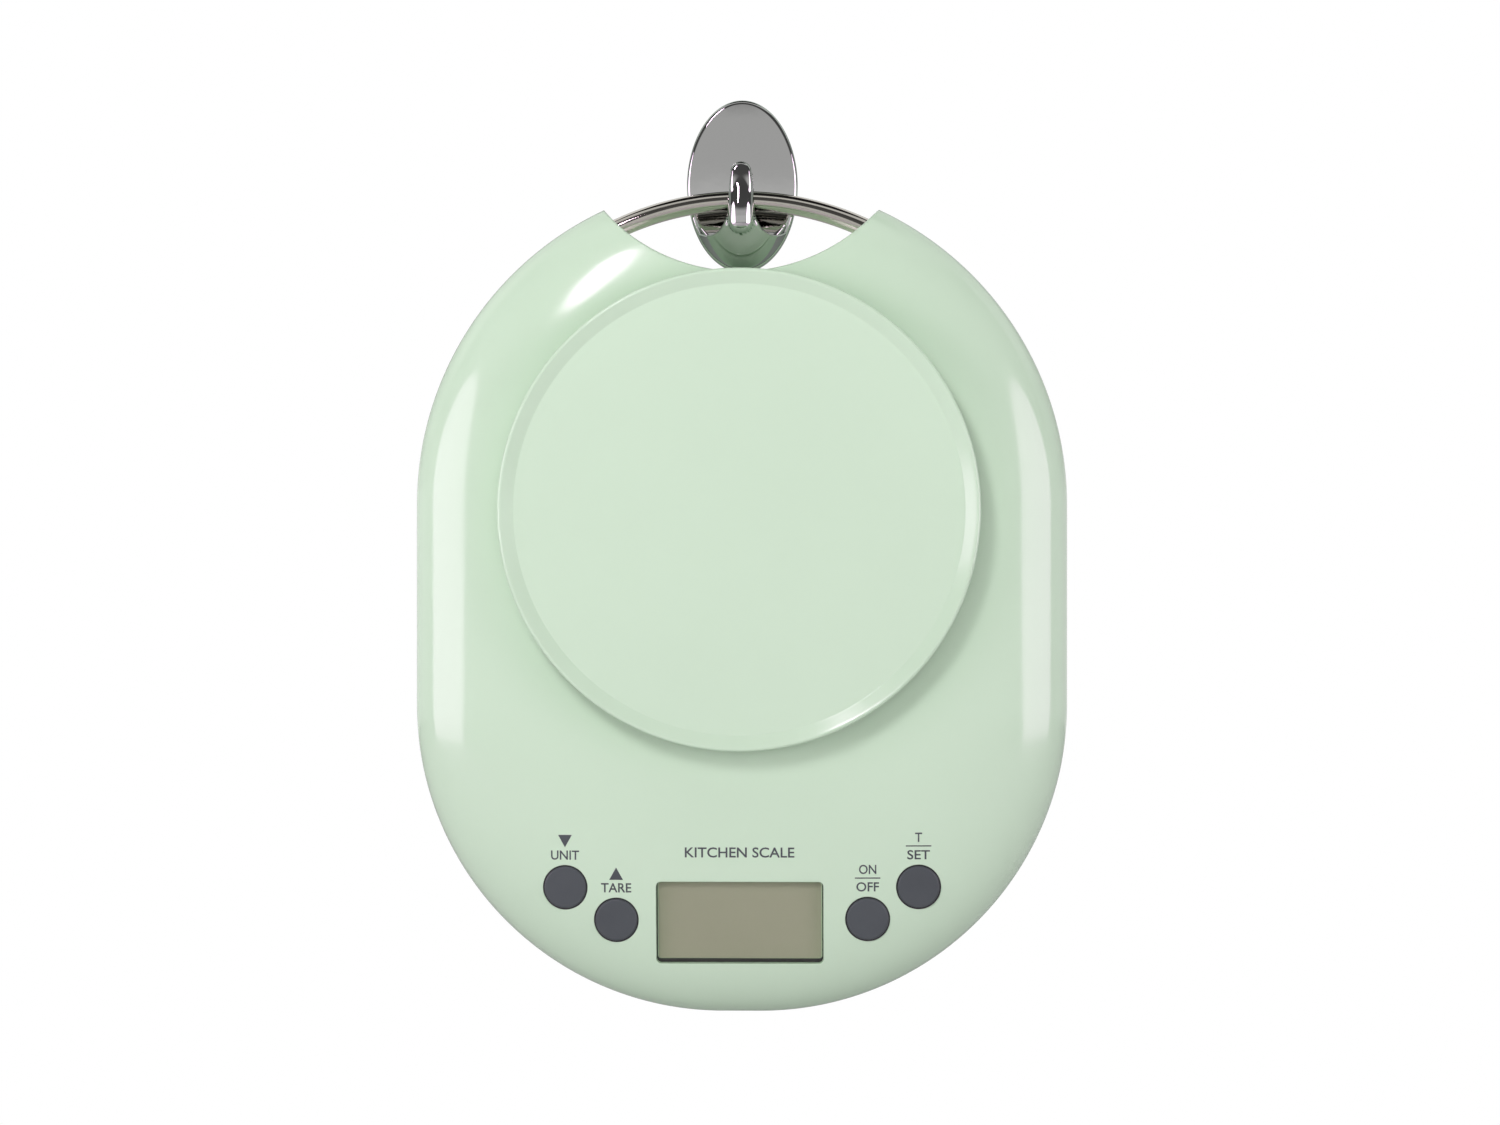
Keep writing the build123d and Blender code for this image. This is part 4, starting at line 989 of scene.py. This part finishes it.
def colour_ramp(owner, stops):
    """A colour ramp from (place, colour) stops."""
    ramp = node(owner, "ShaderNodeValToRGB")
    elements = ramp.color_ramp.elements
    while len(elements) < len(stops):
        elements.new(0.5)
    for element, (place, colour) in zip(elements, stops):
        element.position = place
        element.color = (*colour, 1)
    return ramp


def vary_colour(material, texture, first, second):
    """The base colour drifts between two tones with the texture."""
    ramp = colour_ramp(material, ((0.3, first), (0.7, second)))
    link(material, texture, "Fac", ramp, "Fac")
    link(material, ramp, "Color", principled(material), "Base Color")


def vary_roughness(material, texture, low, high):
    spread = node(material, "ShaderNodeMapRange", From_Min=0.3, From_Max=0.7, To_Min=low, To_Max=high)
    link(material, texture, "Fac", spread, "Value")
    link(material, spread, "Result", principled(material), "Roughness")


def relief(material, texture, strength, distance, edge=0.0):
    """Bump from a texture, over edges rounded by a bevel of that radius in metres."""
    bump = node(material, "ShaderNodeBump", Strength=strength, Distance=distance)
    link(material, texture, "Fac", bump, "Height")
    if edge:
        bevel = node(material, "ShaderNodeBevel", Radius=edge, samples=4)
        link(material, bevel, "Normal", bump, "Normal")
    link(material, bump, "Normal", principled(material), "Normal")


def tone(colour, factor):
    return tuple(min(c * factor, 1) for c in colour)


MINT = (0.617, 0.838, 0.602)


def moulded(colour, roughness, drift, gloss, grain, bump, **sockets):
    """A moulded surface: drift is the noise and tones of its colour, gloss the noise and range of its
    roughness, grain the noise of its bump, and bump that strength, height and edge."""
    def make(name):
        material = shader(name, colour, roughness, **sockets)
        patches, pale, deep = drift
        vary_colour(material, noise(material, *patches), tone(colour, pale), tone(colour, deep))
        vary_roughness(material, noise(material, *gloss[0]), *gloss[1:])
        relief(material, noise(material, *grain), *bump)
        return material
    return make


def plain_plastic(colour, roughness, grain=3500):
    gloss = ((500, 3), roughness * 0.85, min(roughness * 1.15, 1))
    return moulded(colour, roughness, ((60, 3), 0.92, 1.08), gloss, (grain, 3), (0.2, 0.00006, 0.00025))


def metal(colour, roughness, stretch=(1, 1, 1)):
    def make(name):
        material = shader(name, colour, roughness, 1.0)
        grain = noise(material, 900, 4, stretch)
        vary_colour(material, noise(material, 80, 3), tone(colour, 0.93), tone(colour, 1.04))
        vary_roughness(material, grain, roughness * 0.75, roughness * 1.3)
        relief(material, grain, 0.12, 0.00005, 0.0002)
        return material
    return make


def chrome_plate(name):
    """Chrome over a polished casting: near-mirror, with the faintest ripple, and painted shade with a painted
    green reflection of the body where it turns away.
    """
    bright = (0.63, 0.63, 0.62)
    material = shader(name, bright, 0.04, 1.0)
    # Painted shade and painted reflection: the base colour falls from bright chrome to a dark green where the
    # surface turns away from the view.
    facing_for_painted_shade = node(material, "ShaderNodeLayerWeight", Blend=0.5)
    ramp = colour_ramp(material, ((0.12, bright), (0.70, (0.25, 0.33, 0.26))))
    link(material, facing_for_painted_shade, "Facing", ramp, "Fac")
    link(material, ramp, "Color", principled(material), "Base Color")
    vary_roughness(material, noise(material, 260, 3), 0.03, 0.06)
    relief(material, noise(material, 190, 2), 0.035, 0.0003)
    return material


def polished_steel(name):
    """Drawn stainless rod: fine marks along its length, polished over."""
    material = shader(name, (0.74, 0.72, 0.69), 0.08, 1.0)
    marks = noise(material, 1.0, 4, (0.6, 90, 1), uv=True)
    vary_colour(material, marks, (0.62, 0.59, 0.53), (0.72, 0.69, 0.63))
    vary_roughness(material, marks, 0.03, 0.08)
    relief(material, marks, 0.10, 0.0001)
    return material


def clear_lens(name):
    """Clear acrylic: shows what is behind it, with a Fresnel gloss over that."""
    material = shader(name, (1, 1, 1), 0.02)
    clear = node(material, "ShaderNodeBsdfTransparent", Color=(0.93, 0.95, 0.91, 1))
    gloss = node(material, "ShaderNodeBsdfGlossy", Roughness=0.03)
    edge = node(material, "ShaderNodeFresnel", IOR=1.49)
    mix = node(material, "ShaderNodeMixShader")
    side = node(material, "ShaderNodeNewGeometry")
    outside = node(material, "ShaderNodeMath", operation="SUBTRACT")
    outside.inputs[0].default_value = 1
    amount = node(material, "ShaderNodeMath", operation="MULTIPLY")
    output = material.node_tree.nodes["Material Output"]
    for source, value, target, socket in (
            (side, "Backfacing", outside, 1), (edge, "Fac", amount, 0), (outside, "Value", amount, 1),
            (amount, "Value", mix, 0), (clear, "BSDF", mix, 1), (gloss, "BSDF", mix, 2),
            (mix, "Shader", output, "Surface")):
        link(material, source, value, target, socket)
    return material


# Glossy parts: polished, with a trace of orange peel and a faint drift of the pigment. Satin parts:
# spark-eroded, with softened edges. The panel: olive-grey, with a soft drift from its reflector.
SATIN = tone(MINT, 0.96)
PANEL = (0.468, 0.472, 0.366)
LOOKS = {
    "chrome_plate": chrome_plate,
    "adhesive_foam": plain_plastic((0.80, 0.80, 0.78), 0.9, 1800),
    "polished_steel": polished_steel,
    "mint_gloss": moulded(MINT, 0.11, ((14, 3), 0.985, 1.015), ((160, 3), 0.09, 0.13), (420, 1.5),
                          (0.03, 0.0001), Specular_IOR_Level=0.65),
    "mint_satin": moulded(SATIN, 0.42, ((22, 3), 0.97, 1.02), ((300, 4), 0.38, 0.50), (5200, 3),
                          (0.25, 0.00008, 0.0004)),
    "grey_button": plain_plastic((0.074, 0.090, 0.092), 0.42, 4200),
    "clear_lens": clear_lens,
    "lcd_grey": moulded(PANEL, 0.35, ((26, 2, (1, 1, 2)), 0.96, 1.03), ((900, 2), 0.30, 0.38), (7000, 2),
                        (0.08, 0.00003)),
    "black_plastic": plain_plastic((0.03, 0.03, 0.032), 0.5),
    "white_plastic": plain_plastic((0.78, 0.78, 0.75), 0.45),
    "board_green": plain_plastic((0.035, 0.19, 0.075), 0.35, 900),
    "zinc_steel": metal((0.66, 0.67, 0.68), 0.28),
    "spring_nickel": metal((0.74, 0.72, 0.66), 0.22),
    "load_cell_aluminium": metal((0.78, 0.79, 0.80), 0.32, (1, 1, 0.08)),
    "gauge_coating": plain_plastic((0.86, 0.85, 0.80), 0.55, 1500),
    "foot_rubber": plain_plastic((0.09, 0.09, 0.09), 0.85, 2500),
    "battery_jacket": plain_plastic((0.16, 0.17, 0.20), 0.3, 1500),
    "wire_jacket": plain_plastic((0.50, 0.07, 0.05), 0.4, 1500),
    "flex_film": plain_plastic((0.52, 0.33, 0.11), 0.35, 1200),
}


def paint_cad_nodes():
    """The CAD nodes that stay take the detailed material of their slot."""
    slots = {part["node"]: part["material_slot"] for part in frame["record"]["subparts"]}
    for name, obj in frame["nodes"].items():
        for place in obj.material_slots:
            place.material = finish(slots[name])


# --- Floor, light and camera ---
def seen_white(owner, plain, plain_output, white, white_output, output):
    """What the camera sees directly is white; light and mirrors get the plain shader."""
    seen, mix = node(owner, "ShaderNodeLightPath"), node(owner, "ShaderNodeMixShader")
    white.inputs["Color"].default_value = (1, 1, 1, 1)
    link(owner, seen, "Is Camera Ray", mix, 0)
    link(owner, plain, plain_output, mix, 1)
    link(owner, white, white_output, mix, 2)
    link(owner, mix, "Shader", output, "Surface")


def make_floor():
    """A pale disc under the scale, white to the camera as the studio's background is."""
    low = cad_bounds[0].z - 0.04
    radius, sides = 1.6, 96
    mesh = bpy.data.meshes.new("floor")
    mesh.from_pydata([(radius * cos(a), radius * sin(a), low) for a in whole_turn(sides)], [],
                     [tuple(range(sides))])
    material = shader("pale_floor", (0.5, 0.5, 0.5), 0.8)
    seen_white(material, principled(material), "BSDF", node(material, "ShaderNodeEmission"), "Emission",
               material.node_tree.nodes["Material Output"])
    mesh.materials.append(material)
    floor = bpy.data.objects.new("floor", mesh)
    bpy.context.scene.collection.objects.link(floor)


def make_world():
    """White to the camera; to light and mirrors a grey studio with dark bands above, pale behind."""
    world = bpy.data.worlds.new("studio")
    world.use_nodes = True
    bpy.context.scene.world = world
    world.node_tree.nodes.clear()

    # Height goes from -1 at the floor to 1 overhead in front, and on to 3 at the floor behind.
    place, parts = node(world, "ShaderNodeTexCoord"), node(world, "ShaderNodeSeparateXYZ")
    behind = node(world, "ShaderNodeMath", operation="GREATER_THAN")
    behind.inputs[1].default_value = 0
    fold = node(world, "ShaderNodeMath", operation="MULTIPLY_ADD")
    fold.inputs[1].default_value, fold.inputs[2].default_value = -2, 2
    height = node(world, "ShaderNodeMath", operation="MULTIPLY_ADD")
    lift = node(world, "ShaderNodeMapRange", From_Min=-1, From_Max=3)
    levels = ((-1.0, 0.42), (-0.4, 0.52), (-0.1, 0.60), (0.068, 0.60), (0.08, 0.51), (0.16, 0.51),
              (0.23, 0.08), (0.74, 0.06), (0.79, 0.62), (0.92, 0.66), (0.935, 0.015), (1.10, 0.015),
              (1.14, 0.86), (1.52, 0.86), (1.62, 0.42), (1.90, 0.42), (1.97, 0.86), (3.0, 0.86))
    ramp = colour_ramp(world, [((at + 1) / 4, (level, level, level)) for at, level in levels])
    studio = node(world, "ShaderNodeBackground")
    for source, value, target, socket in (
            (place, "Generated", parts, 0), (parts, "Y", behind, 0), (parts, "Z", fold, 0),
            (behind, 0, height, 0), (fold, 0, height, 1), (parts, "Z", height, 2), (height, 0, lift, "Value"),
            (lift, "Result", ramp, "Fac"), (ramp, "Color", studio, "Color")):
        link(world, source, value, target, socket)
    seen_white(world, studio, 0, node(world, "ShaderNodeBackground"), 0, node(world, "ShaderNodeOutputWorld"))


TARGET = Vector((0.0, -JOINT_DEPTH * MM, -0.108))


def softbox(name, direction, distance, width, height, radiance, colour=(1, 1, 1), shape="RECTANGLE",
            reflected=True):
    """An area light that faces the object, out of the camera's sight and if need be of reflections."""
    light = bpy.data.lights.new(name, "AREA")
    light.shape = shape
    light.size, light.size_y = width, height
    area = width * height * (pi / 4 if shape == "ELLIPSE" else 1)
    light.energy = radiance * pi * area
    light.color = colour
    holder = bpy.data.objects.new(name, light)
    holder.location = TARGET + Vector(direction).normalized() * distance
    holder.rotation_euler = (TARGET - holder.location).to_track_quat("-Z", "Y").to_euler()
    holder.visible_camera = False
    holder.visible_glossy = reflected
    bpy.context.scene.collection.objects.link(holder)


def make_lights():
    """Tall boxes at both sides for the long reflections, a key with a small glint by it, and two fills."""
    pale_rose = (1.0, 0.77, 1.0)
    softbox("left_box", (-0.84, -0.54, 0.03), 1.0, 0.62, 0.76, 3.4, pale_rose, "ELLIPSE")
    softbox("right_box", (0.84, -0.54, 0.03), 1.0, 0.62, 0.76, 3.2, pale_rose, "ELLIPSE")
    softbox("key", (-0.29, -0.81, 0.51), 1.2, 0.28, 0.38, 9.9, reflected=False)
    softbox("glint", (-0.315, -0.82, 0.49), 1.2, 0.17, 0.30, 12.5, pale_rose, shape="ELLIPSE")
    softbox("front_fill", (-0.05, -1.0, 0.12), 1.4, 1.0, 1.0, 0.66, reflected=False)
    softbox("back_fill", (0.1, 0.85, 0.45), 1.2, 0.9, 0.6, 1.6, reflected=False)


def make_camera():
    """The main view: far off, nearly level, and a touch to the right of the middle."""
    camera = bpy.data.cameras.new("camera")
    camera.lens = 125.9
    camera.sensor_width = 36
    camera.clip_start, camera.clip_end = 0.05, 20
    holder = bpy.data.objects.new("camera", camera)
    aim = Vector((0.00243, -JOINT_DEPTH * MM, -0.10797))
    right, up = radians(1.75), radians(0.25)
    way = Vector((sin(right) * cos(up), -cos(right) * cos(up), sin(up)))
    holder.location = aim + way * 1.5
    holder.rotation_euler = (aim - holder.location).to_track_quat("-Z", "Y").to_euler()
    bpy.context.scene.collection.objects.link(holder)
    bpy.context.scene.camera = holder
    bpy.context.scene.view_settings.view_transform = "Standard"


# --- The scene ---
make_camera()
make_world()
make_lights()
make_floor()
paint_cad_nodes()
make_top_housing()
make_platform()
make_bar()
make_hook()
for button_name in BUTTON_NAMES:
    make_button(button_name)
    make_gap_shade_ring(button_name)
make_lens()
make_painted_shade_frame()
make_legends()
